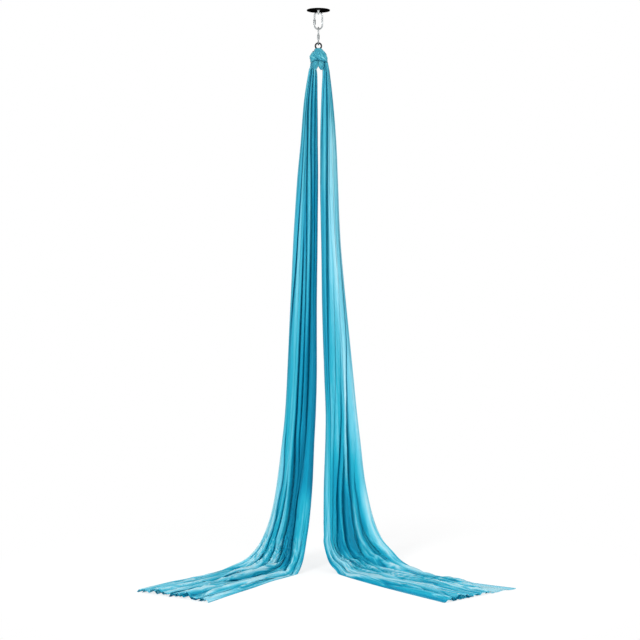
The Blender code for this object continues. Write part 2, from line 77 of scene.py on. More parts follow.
def addNode(tree, kind, inputs=None, **settings):
    # one node with its settings; an input is a value, or what to link: an output, or a node for its
    # first output
    made = tree.nodes.new(kind)
    for key, value in settings.items():
        setattr(made, key, value)
    for key, value in (inputs or {}).items():
        if isinstance(value, bpy.types.Node):
            value = value.outputs[0]
        if isinstance(value, bpy.types.NodeSocket):
            tree.links.new(value, made.inputs[key])
        else:
            made.inputs[key].default_value = value
    return made


def newMaterial(name):
    made = bpy.data.materials.new(name)
    made.use_nodes = True
    made.node_tree.nodes.clear()
    return made, made.node_tree


def closeMaterial(tree, shader):
    addNode(tree, "ShaderNodeOutputMaterial", {"Surface": shader})


def setRamp(ramp, stops):
    # stops are (place, hex colour) from low to high
    points = ramp.color_ramp.elements
    while len(points) < len(stops):
        points.new(0.5)
    for point, (spot, colour) in zip(points, stops):
        point.position = spot
        point.color = linear(colour)


def rayIs(tree, *words):
    # 1 for rays of these kinds, 0 for all others
    rays = addNode(tree, "ShaderNodeLightPath").outputs
    seen = rays[f"Is {words[0]} Ray"]
    for word in words[1:]:
        seen = addNode(tree, "ShaderNodeMath", {0: seen, 1: rays[f"Is {word} Ray"]}, operation="MAXIMUM")
    return seen


def makeRoom():
    bpy.ops.mesh.primitive_plane_add(size=room["floorSize"], location=(0, 0, room["floorZ"]))
    floor = bpy.context.object
    floor.name = "studioFloor"
    made, tree = newMaterial("paleFloor")
    place = addNode(tree, "ShaderNodeTexCoord").outputs["Object"]
    reach = addNode(tree, "ShaderNodeVectorMath", {0: place}, operation="LENGTH").outputs["Value"]
    near, far = room["shadowReach"]
    fade = addNode(tree, "ShaderNodeMapRange", {"Value": reach, "From Min": near, "From Max": far,
                                                "To Min": 1 - room["shadowStrength"]})
    white = addNode(tree, "ShaderNodeMath", {0: rayIs(tree, "Camera", "Glossy"), 1: fade},
                    operation="MULTIPLY")
    matt = addNode(tree, "ShaderNodeBsdfDiffuse", {"Color": linear(room["floorColour"])})
    glow = addNode(tree, "ShaderNodeEmission", {"Color": linear(room["background"])})
    closeMaterial(tree, addNode(tree, "ShaderNodeMixShader", {0: white, 1: matt, 2: glow}))
    floor.data.materials.append(made)

    world = bpy.data.worlds.new("whiteRoom")
    world.use_nodes = True
    scene.world = world
    tree = world.node_tree
    tree.nodes.clear()
    seen = rayIs(tree, "Camera", "Glossy", "Transmission")
    level = addNode(tree, "ShaderNodeMapRange", {"Value": seen, "To Min": room["skyLight"]})
    sky = addNode(tree, "ShaderNodeBackground", {"Color": linear(room["background"]), "Strength": level})
    addNode(tree, "ShaderNodeOutputWorld", {"Surface": sky})


lamps = {
    # name: place, aimed at, size, watts
    "keyLamp": ((-2.6, -4.6, 0.6), (0.0, 0.0, -2.2), 1.6, 214),
    "fillLamp": ((3.6, -4.2, -1.4), (0.2, 0.0, -2.4), 2.4, 96),
    "topLamp": ((0.4, 0.6, 2.6), (0.0, -0.3, -3.6), 2.2, 70),
}


def makeLamps():
    for name, (spot, target, size, watts) in lamps.items():
        light = bpy.data.lights.new(name, "AREA")
        light.energy = watts
        light.shape = "DISK"
        light.size = size
        lamp = bpy.data.objects.new(name, light)
        scene.collection.objects.link(lamp)
        lamp.location = spot
        lamp.rotation_euler = (Vector(target) - Vector(spot)).to_track_quat("-Z", "Y").to_euler()


def makeCamera():
    lens = bpy.data.cameras.new("viewCamera")
    lens.sensor_width = view["sensor"]
    lens.lens = view["lens"]
    camera = bpy.data.objects.new("viewCamera", lens)
    scene.collection.objects.link(camera)
    camera.location = view["place"]
    camera.rotation_euler = (math.radians(90 - view["pitchDown"]), 0, 0)
    scene.camera = camera


makeRoom()
makeLamps()
makeCamera()
scene.view_settings.view_transform = "Standard"
print("room, lamps and camera ready")

cloth = {
    "width": 1.5,                 # metres across, selvedge to selvedge
    "length": 4.9,                # of each half, from the knot to the hem
    # from painted shade at 0, through the dye's own colour, to painted highlight at 1
    "dyeAndShade": [(0.0, "#037A9D"), (0.22, "#0893B6"), (0.5, "#25AFC8"), (0.80, "#7AD3E7"), (1.0, "#BEEBF3")],
    "bandCells": (14.0, 1.1, 1.0),         # paler and deeper bands to the metre, across and along
    "bandTone": 0.06,
    "creaseCells": (11.0, 1.2, 1.0),       # creases to the metre, across and along the cloth
    # the painted shade line of a crease and the painted highlight beside it: how far aside, reach and
    # strength
    "creaseLines": [(0.0, 0.024, -0.32), (0.14, 0.022, 0.26)],
    "creaseHeight": 0.004,
    "paleFade": 0.82,             # saturation of the palest cloth near the knot
    "knotHue": (0.5, 0.483),      # from the hanging cloth to the knot
    "knotValue": (1.0, 0.88),
    "knotFade": -0.09,
    "shineThrough": "#34C8E0",
    "lustreTint": "#7CE2F0",
    "translucency": 0.28,
    "ribPitch": 0.0024,           # real ribs are 0.8 mm, drawn coarser so that they show
    "ribDepth": 0.00018,
}


def tricotCloth(name):
    # warp-knitted nylon, dyed turquoise: fine ribs along its length and a soft lustre across them;
    # its colour carries painted light, paler where lit or where light comes through a single layer, and
    # painted shade, deeper in folds; its creases show as a painted highlight beside a painted shade line
    made, tree = newMaterial(name)
    spot = addNode(tree, "ShaderNodeUVMap", uv_map="clothMetres")
    marks = {word: addNode(tree, "ShaderNodeAttribute", attribute_name=word).outputs["Fac"]
             for word in ("thinShare", "creaseShare", "dullShare")}
    stretch = addNode(tree, "ShaderNodeMapping", {"Vector": spot, "Scale": cloth["bandCells"]})
    bands = addNode(tree, "ShaderNodeTexNoise", {"Vector": stretch, "Scale": 1.0, "Detail": 3.0})
    tone = addNode(tree, "ShaderNodeMapRange", {"Value": bands, "From Min": 0.3, "From Max": 0.7,
                                                "To Min": -cloth["bandTone"], "To Max": cloth["bandTone"]})
    # the mesh's painted light and shade, with the random bands added
    tone = addNode(tree, "ShaderNodeMath", {0: marks["thinShare"], 1: tone})
    lines = []
    for aside, reach, strength in cloth["creaseLines"]:
        place = addNode(tree, "ShaderNodeMapping",
                        {"Vector": spot, "Location": (aside, 0, 0), "Scale": cloth["creaseCells"]})
        cells = addNode(tree, "ShaderNodeTexNoise", {"Vector": place, "Scale": 1.0, "Detail": 2.5,
                                                     "Roughness": 0.55, "Distortion": 0.2})
        away = addNode(tree, "ShaderNodeMath", {0: cells, 1: 0.5}, operation="SUBTRACT")
        away = addNode(tree, "ShaderNodeMath", {0: away}, operation="ABSOLUTE")
        line = addNode(tree, "ShaderNodeMapRange", {"Value": away, "From Min": reach, "From Max": 0.0},
                       interpolation_type="SMOOTHSTEP")
        line = addNode(tree, "ShaderNodeMath", {0: line, 1: marks["creaseShare"]}, operation="MULTIPLY")
        # each line adds painted shade (negative strength) or painted highlight (positive strength) to the
        # tone
        tone = addNode(tree, "ShaderNodeMath", {0: line, 1: strength, 2: tone}, operation="MULTIPLY_ADD")
        lines.append(line)
    dyeAndShade = addNode(tree, "ShaderNodeValToRGB", {"Fac": tone})
    setRamp(dyeAndShade, cloth["dyeAndShade"])
    faded = addNode(tree, "ShaderNodeMath", {0: marks["dullShare"], 1: tone}, operation="MULTIPLY")
    fade = addNode(tree, "ShaderNodeMapRange", {"Value": faded, "To Min": 1.0, "To Max": cloth["paleFade"]})
    # near the knot the colour is made duller, a little greener and darker
    layered = addNode(tree, "ShaderNodeMapRange", {"Value": marks["dullShare"], "From Min": 0.8})
    hue, dark = (addNode(tree, "ShaderNodeMapRange", {"Value": layered, "To Min": low, "To Max": high})
                 for low, high in (cloth["knotHue"], cloth["knotValue"]))
    less = addNode(tree, "ShaderNodeMath", {0: layered, 1: cloth["knotFade"], 2: fade},
                   operation="MULTIPLY_ADD")
    colour = addNode(tree, "ShaderNodeHueSaturation",
                     {"Color": dyeAndShade, "Hue": hue, "Saturation": less, "Value": dark})
    ribs = addNode(tree, "ShaderNodeTexWave",
                   {"Vector": spot, "Scale": 1 / cloth["ribPitch"] / 20, "Distortion": 0.6, "Detail": 1.0},
                   bands_direction="X").outputs["Fac"]
    bump = addNode(tree, "ShaderNodeBump", {"Height": ribs, "Strength": 0.3, "Distance": cloth["ribDepth"]})
    relief = addNode(tree, "ShaderNodeMath", {0: lines[1], 1: lines[0]}, operation="SUBTRACT")
    bump = addNode(tree, "ShaderNodeBump",
                   {"Height": relief, "Strength": 0.5, "Normal": bump, "Distance": cloth["creaseHeight"]})
    surface = addNode(tree, "ShaderNodeBsdfPrincipled",
                      {"Base Color": colour, "Roughness": 0.40, "Normal": bump, "Sheen Weight": 0.18,
                       "Sheen Tint": linear(cloth["lustreTint"]), "Sheen Roughness": 0.35,
                       "Specular IOR Level": 0.4, "Specular Tint": linear(cloth["lustreTint"]),
                       "IOR": 1.53})
    through = addNode(tree, "ShaderNodeBsdfTranslucent",
                      {"Color": linear(cloth["shineThrough"]), "Normal": bump})
    both = addNode(tree, "ShaderNodeMixShader", {0: cloth["translucency"], 1: surface, 2: through})
    closeMaterial(tree, both)
    return made


def clamp(value):
    return max(0.0, min(1.0, value))


def bell(away):
    # 1 in the middle, falling to nearly 0 at twice the reach, in which away is counted
    return math.exp(-away * away)


def noiseAt(x, y, z):
    return noise.noise(Vector((x, y, z)))


def makeMesh(name, spots, faces, look):
    mesh = bpy.data.meshes.new(name)
    mesh.from_pydata([tuple(s) for s in spots], [], faces)
    mesh.shade_smooth()
    mesh.materials.append(look)
    made = bpy.data.objects.new(name, mesh)
    scene.collection.objects.link(made)
    return made


def gridFaces(rows, columns, joinRows=False, joinColumns=False, turned=False):
    # quads between rows of points, where the last row or column may join the first one again
    faces = []
    for r in range(rows if joinRows else rows - 1):
        for c in range(columns if joinColumns else columns - 1):
            here, below, right = r * columns, (r + 1) % rows * columns, (c + 1) % columns
            quad = (here + right, below + right, below + c)
            faces.append((here + c, *(quad[::-1] if turned else quad)))
    return faces


def makeCloth(name, spots, faces, metres, **marks):
    # a piece of the cloth: its UV map is in metres across and along it, and every point has a share
    # from 0 to 1 of each mark that the material reads, given as a list or as one number for all
    piece = makeMesh(name, spots, faces, clothLook)
    layer = piece.data.uv_layers.new(name="clothMetres")
    for loop in piece.data.loops:
        layer.data[loop.index].uv = metres[loop.vertex_index]
    for word, values in marks.items():
        if isinstance(values, float):
            values = [values] * len(spots)
        marked = piece.data.attributes.new(word, "FLOAT", "POINT")
        marked.data.foreach_set("value", [clamp(value) for value in values])
    return piece


clothLook = tricotCloth("turquoiseTricot")


def between(keys, t):
    # a smooth curve through given keys: each key is its place t, then its values
    if t <= keys[0][0]:
        return list(keys[0][1:])
    if t >= keys[-1][0]:
        return list(keys[-1][1:])
    k = max(i for i in range(len(keys)) if keys[i][0] <= t)
    a, b = keys[k], keys[k + 1]
    before, after = keys[max(0, k - 1)], keys[min(len(keys) - 1, k + 2)]
    span = b[0] - a[0]
    f = (t - a[0]) / span
    out = []
    for i in range(1, len(a)):
        slopeA = (b[i] - before[i]) / (b[0] - before[0]) * span
        slopeB = (after[i] - a[i]) / (after[0] - a[0]) * span
        steep = 3 * abs(b[i] - a[i])
        slopeA = max(-steep, min(steep, slopeA))
        slopeB = max(-steep, min(steep, slopeB))
        out.append(
            a[i] + f * slopeA + f * f * (3 * (b[i] - a[i]) - 2 * slopeA - slopeB)
            + f**3 * (slopeA + slopeB - 2 * (b[i] - a[i]))
        )
    return out


# Both halves, from the knot down. As in the CAD, every row has its height above the floor, as a share
# of the pivot's, and its depth, as a share of the full one.
silks = {
    "pivotOut": 0.038,
    "topDepth": 0.034,
    "topForward": -0.009,
    "pivotBack": 0.018,
    "topRise": 0.040,             # how far the gathered cloth shows above its pivot
    "gathered": 0.55,             # how much narrower they are at their very top
    "pivotZ": -0.3672,
    "depth": 0.105,
    "rows": [(0.988, 0.42), (0.932, 0.58), (0.853, 0.76), (0.773, 0.86), (0.654, 0.95), (0.534, 1.0),
             (0.395, 1.0), (0.315, 1.0), (0.255, 1.0), (0.185, 1.0), (0.136, 0.98), (0.096, 0.95),
             (0.061, 0.90), (0.038, 0.80), (0.022, 0.68), (0.013, 0.56), (0.0085, 0.48), (0.0075, 0.43),
             (0.0065, 0.38), (0.0055, 0.32)],
    "lobes": 8,
    "columnsPerLobe": 30,
    "stationsPerRow": 16,
    "hullFullness": 3.6,
    "hemUneven": 0.016,
    "creaseReach": 0.016,         # of a fine crease, as a share of the bundle's width
    "creaseEnds": (1.5, 0.3),     # rows over which a crease fades, beyond its last key and within it
    "creaseLightShade": (26, 45),       # painted highlight on a raised one and painted shade in a sunken one, by height
}

# Each half. Its edges give, by row, the near edge out and forward and the far one out and forward, as
# shares of the reach.
leftHalf = {
    "side": -1,
    "reachOut": 1.096,
    "reachForward": 0.944,
    "seed": 3.7,
    "top": (0.0222, 0.0546),      # the gathered end's inner and outer edge
    "flat": [],
    # how far the near edge drops below its row and lies further out, where it meets the floor
    "heel": [(12.6, 0, 0), (13, 0.004, 0), (14, 0.040, 0.004), (15, 0.062, 0.010), (16, 0.034, 0.004),
             (17, 0.016, 0), (18, 0.008, 0), (20, 0, 0)],
    # rows, lobes and by how much the cloth is painted paler (+, painted light) or deeper (-, painted shade)
    "paintedTones": [(-2, 0.4, -1, 9, 0.24), (1.5, 10.5, -1, 2, -0.36), (5.5, 10.5, -1, 1, -0.3), (1, 6, 2, 6, 0.02),
              (6.5, 9, 2, 4, -0.25), (9, 14.6, 2, 4, -0.5), (1, 9, 6, 9, 0.06), (9, 15.2, 6, 9, 0.30),
              (9, 14.5, 7, 9, 0.15), (10, 15, -1, 2, -0.08), (15, 22, -1, 3, 0.36), (15, 22, 5, 9, 0.36),
              (14.5, 22, 3, 5, 0.28), (13.4, 15.5, 0, 9, 0.14)],
    "recessed": [(9.2, 14.4, 2, 4, 0.62), (8, 13, 4, 5, 0.12)],    # the same, by how much lower
    # each crease from its top down: row, place across, height, and reach where it isn't a fine one
    "creases": [
        [(10.2, 0.78, 0.003), (11.5, 0.805, 0.005), (12.9, 0.835, 0.006), (14.3, 0.857, 0.006)],
        [(11, 0.60, 0.003), (12.6, 0.62, 0.006), (13.9, 0.65, 0.007), (15, 0.68, 0.006)],
        [(10.5, 0.70, 0.003), (12.5, 0.725, 0.005), (14.0, 0.76, 0.006), (15.5, 0.80, 0.005)],
        [(1, 0.55, 0.003), (4, 0.42, 0.003), (7, 0.33, 0.002)],
        [(4.4, 0.20, -0.005, 0.06), (5.2, 0.20, -0.009, 0.08), (6.2, 0.22, -0.010, 0.085),
         (7, 0.25, -0.009, 0.08), (8, 0.26, -0.008, 0.07), (9, 0.24, -0.006, 0.06)],
        [(2, 0.86, 0.003), (5, 0.70, 0.002), (8, 0.76, 0.002)],
        [(14, 0.10, 0.005), (16, 0.14, 0.007), (18, 0.12, 0.006), (20, 0.16, 0.006)],
        [(15, 0.30, 0.006), (17, 0.34, 0.008), (19, 0.30, 0.006)],
        [(15.5, 0.52, 0.007), (17.5, 0.60, 0.008), (20, 0.57, 0.006)],
        [(0.5, 0.66, -0.005, 0.09), (2, 0.70, -0.006, 0.10), (3, 0.62, -0.006, 0.08),
         (4, 0.55, -0.004, 0.06), (5, 0.45, -0.005, 0.06), (7, 0.42, -0.004, 0.05)],
        [(1, 0.40, -0.003, 0.07), (3, 0.37, -0.004, 0.06), (5, 0.25, -0.005, 0.06),
         (7, 0.24, -0.003, 0.05)],
        [(1, 0.13, -0.004, 0.06), (3, 0.17, -0.005, 0.06), (5, 0.10, -0.003, 0.05)],
        [(5, 0.53, -0.004, 0.03), (7, 0.57, -0.006, 0.035), (10, 0.53, -0.008, 0.05),
         (12, 0.48, -0.006, 0.06)],
        [(3, 0.80, -0.003, 0.05), (5, 0.80, -0.004, 0.05), (6.5, 0.92, -0.003, 0.04)],
    ],
    "edges": [(0.008, -0.014, 0.060, -0.015), (0.006, -0.008, 0.0845, -0.010),
              (0.003, 0.000, 0.1035, -0.006), (0.000, 0.000, 0.127, -0.006),
              (0.005, 0.003, 0.149, -0.009), (0.009, 0.010, 0.165, -0.012), (0.011, 0.022, 0.184, -0.018),
              (0.017, 0.034, 0.198, -0.021), (0.025, 0.048, 0.216, -0.022), (0.034, 0.069, 0.242, -0.020),
              (0.045, 0.090, 0.265, -0.014), (0.057, 0.111, 0.295, -0.004), (0.073, 0.134, 0.338, 0.014),
              (0.092, 0.172, 0.390, 0.040), (0.125, 0.226, 0.455, 0.080), (0.170, 0.280, 0.545, 0.155),
              (0.265, 0.410, 0.660, 0.285), (0.365, 0.600, 0.780, 0.430), (0.480, 0.800, 0.895, 0.575),
              (0.585, 1.000, 1.000, 0.716)],
    # each fold from the knot to the hem: row, place across from the inner edge, depth, and openness
    # where it has any
    "folds": [
        [(0, 0.12, 0.8), (2, 0.13, 0.8), (3, 0.16, 0.7), (4, 0.15, 0.6), (5, 0.11, 0.45), (6, 0.09, 0.2),
         (7, 0.08, 0), (13, 0.08, 0.1), (16, 0.08, 0.4), (20, 0.12, 0.6)],
        [(0, 0.34, 0.9, 0), (1, 0.42, 0.9, 0), (3, 0.38, 0.9, 0), (4, 0.31, 1, 0), (5, 0.24, 1, 0.3),
         (6, 0.225, 1, 0.2), (7, 0.235, 0.8, 0), (8, 0.24, 0.6, 0), (9, 0.22, 0.3, 0), (10, 0.28, 0.4, 0),
         (11, 0.335, 0.9, 0), (12, 0.315, 1, 0), (13, 0.29, 1, 0), (14, 0.24, 1, 0), (15, 0.2, 0.9, 0),
         (17, 0.21, 0.7, 0), (20, 0.25, 0.7, 0)],
        [(0, 0.58, 0.9, 0), (1, 0.70, 0.95, 0), (2, 0.70, 0.95, 0), (3, 0.61, 1, 0.2), (4, 0.54, 0.9, 0),
         (5, 0.44, 0.5, 0), (6, 0.41, 0.35, 0), (7, 0.405, 0.6, 0), (8, 0.405, 0.7, 0), (9, 0.41, 0.5, 0),
         (10, 0.385, 0.2, 0), (11, 0.41, 0.1, 0), (13, 0.37, 0.1, 0), (16, 0.31, 0.4, 0),
         (20, 0.38, 0.6, 0)],
        [(0, 0.66, 0, 0), (3, 0.68, 0, 0), (4.4, 0.575, 0, 0), (5, 0.56, 0.5, 0), (5.5, 0.556, 0.95, 0),
         (7, 0.585, 1, 0), (8, 0.57, 1, 0), (9, 0.56, 1, 0.2), (10, 0.545, 1, 0.3), (11, 0.53, 1, 0.4),
         (12, 0.50, 1, 0.6), (13, 0.49, 1, 0.7), (14, 0.43, 1, 0.6), (15, 0.39, 0.9, 0.3),
         (17, 0.43, 0.7, 0), (20, 0.51, 0.8, 0)],
        [(0, 0.72, 0), (4, 0.66, 0), (8, 0.70, 0), (9.8, 0.66, 0.1), (10.5, 0.65, 0.5), (12, 0.66, 0.7),
         (13, 0.64, 0.7), (14, 0.59, 0.8), (16, 0.55, 0.7), (20, 0.64, 0.7)],
        [(0, 0.78, 0.8), (3, 0.78, 0.8), (4, 0.76, 0.9), (5, 0.80, 0.9), (5.5, 0.83, 0.9), (6, 0.90, 0.8),
         (6.5, 0.93, 0.5), (7.3, 0.92, 0.1), (8.5, 0.86, 0.15), (9, 0.86, 0.5), (10, 0.79, 0.8),
         (11, 0.82, 0.8), (12, 0.80, 0.8), (14, 0.75, 0.8), (16, 0.70, 0.7), (20, 0.77, 0.7)],
        [(0, 0.90, 0.8), (2, 0.93, 0.7), (3, 0.94, 0.6), (4.2, 0.92, 0.4), (5.2, 0.94, 0), (8, 0.965, 0),
         (12, 0.93, 0.3), (16, 0.86, 0.5), (20, 0.90, 0.6)],
    ],
}
rightHalf = {
    "side": 1,
    "reachOut": 1.210,
    "reachForward": 0.949,
    "seed": 11.3,
    "top": (0.0260, 0.0665),
    # beyond these places across, by row, one layer lies open and flat on the floor
    "flat": [(17.7, 1.04), (18.4, 0.91), (19.0, 0.79), (19.5, 0.69), (20, 0.61)],
    "heel": [(12.6, 0, 0), (13, 0.004, -0.004), (14, 0.036, 0.018), (15, 0.022, 0.040), (16, 0.034, 0.032),
             (17, 0.016, 0.010), (18, 0.008, 0), (20, 0, 0)],
    # painted light (+) and painted shade (-), as for the left half
    "paintedTones": [(-2, 0.4, 0, 9, 0.02), (-2, 0.8, 4, 6, -0.06), (1, 6, -1, 2, -0.05), (2.5, 6, 2, 9, 0.30),
              (2.5, 4.5, 5, 9, 0.06), (6, 9.3, 2, 9, 0.14),
              (6.5, 10.5, 5, 9, 0.14), (7.5, 13.6, -1, 2, 0.16), (9.5, 13.6, 2, 4, -0.18),
              (10.2, 13.8, 4, 6, -0.34), (10.5, 14.5, 6, 9, 0.20), (10.5, 15, 7, 9, 0.14),
              (13.8, 15.6, 1, 5, 0.18), (15.5, 22, 0, 9, 0.16), (15.5, 22, 5, 9, 0.14), (18, 22, 6, 9, 0.15),
              (15.5, 22, -1, 1, -0.08), (15.5, 22, 1, 5, 0.08), (13.5, 15.6, 2, 7, 0.05)],
    "recessed": [(9.6, 14, 5, 6, 0.4), (7.5, 14, 2, 3, 0.15)],
    "creases": [
        [(7, 0.62, 0.002), (9, 0.5, 0.004), (10.2, 0.357, 0.005), (12.6, 0.24, 0.005)],
        [(9.8, 0.6, 0.004), (11.5, 0.6, 0.006), (13.2, 0.59, 0.007), (14.5, 0.58, 0.006)],
        [(9.8, 0.5, 0.003), (12, 0.43, 0.005), (14.5, 0.32, 0.006)],
        [(11, 0.88, 0.003), (12.6, 0.88, 0.004), (14, 0.86, 0.006), (15.3, 0.84, 0.007)],
        [(12.5, 0.30, 0.004), (13.6, 0.33, 0.007), (14.8, 0.42, 0.007)],
        [(12.8, 0.14, 0.004), (13.8, 0.13, 0.007), (14.8, 0.20, 0.006)],
        [(1, 0.62, 0.003), (3, 0.70, 0.003), (6, 0.74, 0.002)],
        [(15, 0.10, 0.006), (17, 0.12, 0.008), (20, 0.18, 0.006)],
        [(15.5, 0.45, 0.007), (17.5, 0.56, 0.008), (19.5, 0.50, 0.006)],
        [(15, 0.66, 0.006), (17, 0.66, 0.008), (20, 0.62, 0.006)],
        [(1, 0.50, -0.005, 0.07), (2.5, 0.46, -0.006, 0.06), (4, 0.38, -0.008, 0.06),
         (5.5, 0.25, -0.008, 0.05), (6.5, 0.15, -0.004, 0.05)],
        [(1, 0.24, -0.004, 0.07), (2.5, 0.14, -0.004, 0.06)],
        [(8, 0.66, -0.005, 0.05), (9.5, 0.64, -0.008, 0.07), (11, 0.66, -0.008, 0.05),
         (12.5, 0.68, -0.008, 0.06), (14.5, 0.70, -0.006, 0.05)],
    ],
    "edges": [(0.021, -0.014, 0.0615, -0.015), (0.014, -0.008, 0.0785, -0.010),
              (0.009, 0.000, 0.095, -0.006), (0.009, 0.000, 0.105, -0.006), (0.015, 0.003, 0.118, -0.009),
              (0.020, 0.010, 0.148, -0.012), (0.032, 0.022, 0.186, -0.018), (0.040, 0.034, 0.207, -0.021),
              (0.038, 0.048, 0.226, -0.022), (0.031, 0.069, 0.248, -0.020), (0.029, 0.090, 0.274, -0.014),
              (0.029, 0.111, 0.302, -0.004), (0.033, 0.134, 0.345, 0.014), (0.042, 0.158, 0.402, 0.036),
              (0.060, 0.190, 0.455, 0.075), (0.105, 0.250, 0.525, 0.150), (0.205, 0.390, 0.640, 0.300),
              (0.335, 0.590, 0.760, 0.420), (0.475, 0.800, 0.880, 0.520), (0.611, 1.000, 1.000, 0.611)],
    "folds": [
        [(0, 0.2, 0.8), (1, 0.28, 0.8), (2, 0.17, 0.7), (3, 0.08, 0.5), (4, 0.06, 0), (9, 0.06, 0),
         (12, 0.06, 0.2), (16, 0.10, 0.4), (20, 0.12, 0.6)],
        [(0, 0.45, 0.9, 0), (1, 0.52, 0.9, 0), (2, 0.49, 0.9, 0), (3, 0.44, 1, 0), (4, 0.385, 1, 0.2),
         (5, 0.305, 1, 0.2), (5.5, 0.25, 0.95, 0.1), (6, 0.21, 0.85, 0), (6.5, 0.15, 0.6, 0),
         (7, 0.12, 0.4, 0), (8, 0.10, 0.15, 0), (11, 0.10, 0.1, 0), (13, 0.09, 0.2, 0), (16, 0.20, 0.5, 0),
         (20, 0.25, 0.7, 0)],
        [(0, 0.66, 0.7), (1, 0.78, 0.7), (2, 0.65, 0.75), (3, 0.57, 0.7), (4, 0.49, 0.6),
         (4.6, 0.50, 0.08), (5.5, 0.53, 0.05), (6, 0.46, 0.05), (7, 0.34, 0.1), (8, 0.24, 0.2),
         (9, 0.20, 0.3), (10, 0.19, 0.3), (11, 0.17, 0.2), (13, 0.14, 0.3), (16, 0.30, 0.5),
         (20, 0.37, 0.6)],
        [(0, 0.75, 0), (3, 0.70, 0), (5, 0.70, 0), (6, 0.69, 0.15), (7, 0.53, 0.35), (8, 0.45, 0.5),
         (9, 0.38, 0.65), (10, 0.30, 0.9), (11, 0.25, 1), (12, 0.235, 1), (13, 0.20, 1), (14, 0.18, 0.9),
         (15, 0.26, 0.7), (17, 0.41, 0.6), (20, 0.49, 0.7)],
        [(0, 0.80, 0), (5, 0.78, 0), (7, 0.61, 0), (8.8, 0.48, 0), (9.4, 0.46, 0.5), (10, 0.435, 0.9),
         (11, 0.38, 1), (12, 0.36, 1), (13, 0.35, 0.95), (14, 0.34, 0.9), (15, 0.38, 0.8), (17, 0.52, 0.6),
         (20, 0.60, 0.7)],
        [(0, 0.86, 0, 0), (3, 0.88, 0, 0), (5, 0.93, 0, 0), (6, 0.88, 0.25, 0), (6.5, 0.83, 0.4, 0),
         (7, 0.71, 0.7, 0), (7.5, 0.66, 0.9, 0.1), (8, 0.61, 1, 0.3), (9, 0.58, 1, 0.6),
         (10, 0.59, 1, 0.5), (11, 0.595, 0.9, 0), (12, 0.57, 0.8, 0), (13, 0.56, 0.7, 0),
         (14, 0.52, 0.5, 0), (16, 0.56, 0.6, 0), (20, 0.71, 0.7, 0)],
        [(0, 0.93, 0.4, 0), (3, 0.95, 0, 0), (6, 0.96, 0, 0), (7, 0.88, 0, 0), (9, 0.80, 0, 0),
         (9.8, 0.72, 0.1, 0), (10.3, 0.70, 0.7, 0), (11, 0.71, 1, 0), (12, 0.71, 1, 0.1),
         (13, 0.72, 1, 0.3), (14, 0.745, 1, 0.2), (15, 0.75, 0.9, 0), (17, 0.79, 0.7, 0),
         (20, 0.87, 0.7, 0)],
    ],
}


def edgeRows(half):
    # keys by row: height, near edge out and forward, far edge out and forward, and depth
    inner, outer = (edge / half["reachOut"] for edge in half["top"])
    forward = silks["topForward"] / half["reachForward"]
    rows = [(1.0, silks["topDepth"] / silks["depth"]), *silks["rows"]]
    edges = [(inner, forward, outer, forward), *half["edges"]]
    return [(i, height, *edge, deep) for i, ((height, deep), edge) in enumerate(zip(rows, edges))]


def sectionAt(rows, half, t):
    # near edge, far edge and depth at one row place; above row 0 the cloth gathers into the hitch
    if t < 0:
        side = half["side"]
        inner, outer = half["top"]
        narrow = (outer - inner) / 2 * (1 + silks["gathered"] * t)
        middle = (inner + outer) / 2
        level = silks["pivotZ"] + silks["topRise"] * math.sin(-t * math.pi / 2)
        near = Vector((side * (middle - narrow), -silks["topForward"], level))
        far = Vector((side * (middle + narrow), -silks["topForward"], level))
        return near, far, silks["topDepth"] * (1 + 0.5 * silks["gathered"] * t)
    up, nearOut, nearOn, farOut, farOn, deep = between(rows, t)
    level = room["floorZ"] + (silks["pivotZ"] - room["floorZ"]) * up
    side = half["side"]
    drop, wider = between(half["heel"], t)
    out, forward = half["reachOut"], half["reachForward"]
    near = Vector((side * nearOut * out + side * wider, -nearOn * forward, level - drop))
    far = Vector((side * farOut * out, -farOn * forward, level))
    return near, far, deep * silks["depth"]


# Half a lobe's section from the middle of the fold behind it to the lobe's crown: place across as
# a share of the whole lobe, and depth from -1 at the back to 1 in front.
foldBack = [(0.0, -1.0), (0.22, -0.97), (0.37, -0.72), (0.22, -0.28)]
edgeShape = [(0.10, -0.50), (0.04, -0.20), (0.0, 0.12), (0.0, 0.42), (0.03, 0.66), (0.09, 0.85),
             (0.20, 0.95), (0.34, 0.99), (0.5, 1.0)]


def halfLobe(strength, openness, lying):
    # the stronger a fold shows, the rounder its lips and the wider its mouth
    mouth = 0.006 + 0.03 * strength + 0.16 * openness
    lip = 0.05 + 0.09 * strength
    return foldBack + [
        (mouth + 0.02, 0.25),
        (mouth, 0.93 - 0.56 * strength - 0.35 * lying),
        (mouth + lip, 0.985 - 0.13 * strength - 0.35 * lying),
        (0.30, 1.0 - 0.10 * lying),
        (0.5, 1.0 + 0.04 * strength),
    ]


def alongShape(points, share):
    # a smooth curve through evenly spaced points
    last = len(points) - 1
    k = min(int(share * last), last - 1)
    t = share * last - k
    p, q, r, s = (points[max(0, min(last, k + j))] for j in (-1, 0, 1, 2))
    return [
        0.5 * (2 * b + (c - a) * t + (2 * a - 5 * b + 4 * c - d) * t**2 + (3 * b - a - 3 * c + d) * t**3)
        for a, b, c, d in zip(p, q, r, s)
    ]


def smoothStep(low, high, value):
    # 0 at low to 1 at high, which may be the smaller of the two
    share = clamp((value - low) / (high - low))
    return share * share * (3 - 2 * share)


def softPatch(patches, t, q):
    # patches are first row, last row, first and last lobe, strength; folds hide their side edges
    total = 0.0
    for rowA, rowB, lobeA, lobeB, strength in patches:
        rows = smoothStep(rowA - 0.7, rowA + 0.7, t) * (1 - smoothStep(rowB - 0.7, rowB + 0.7, t))
        spread = smoothStep(lobeA - 0.12, lobeA + 0.12, q) * (1 - smoothStep(lobeB - 0.12, lobeB + 0.12, q))
        total += rows * spread * strength
    return total


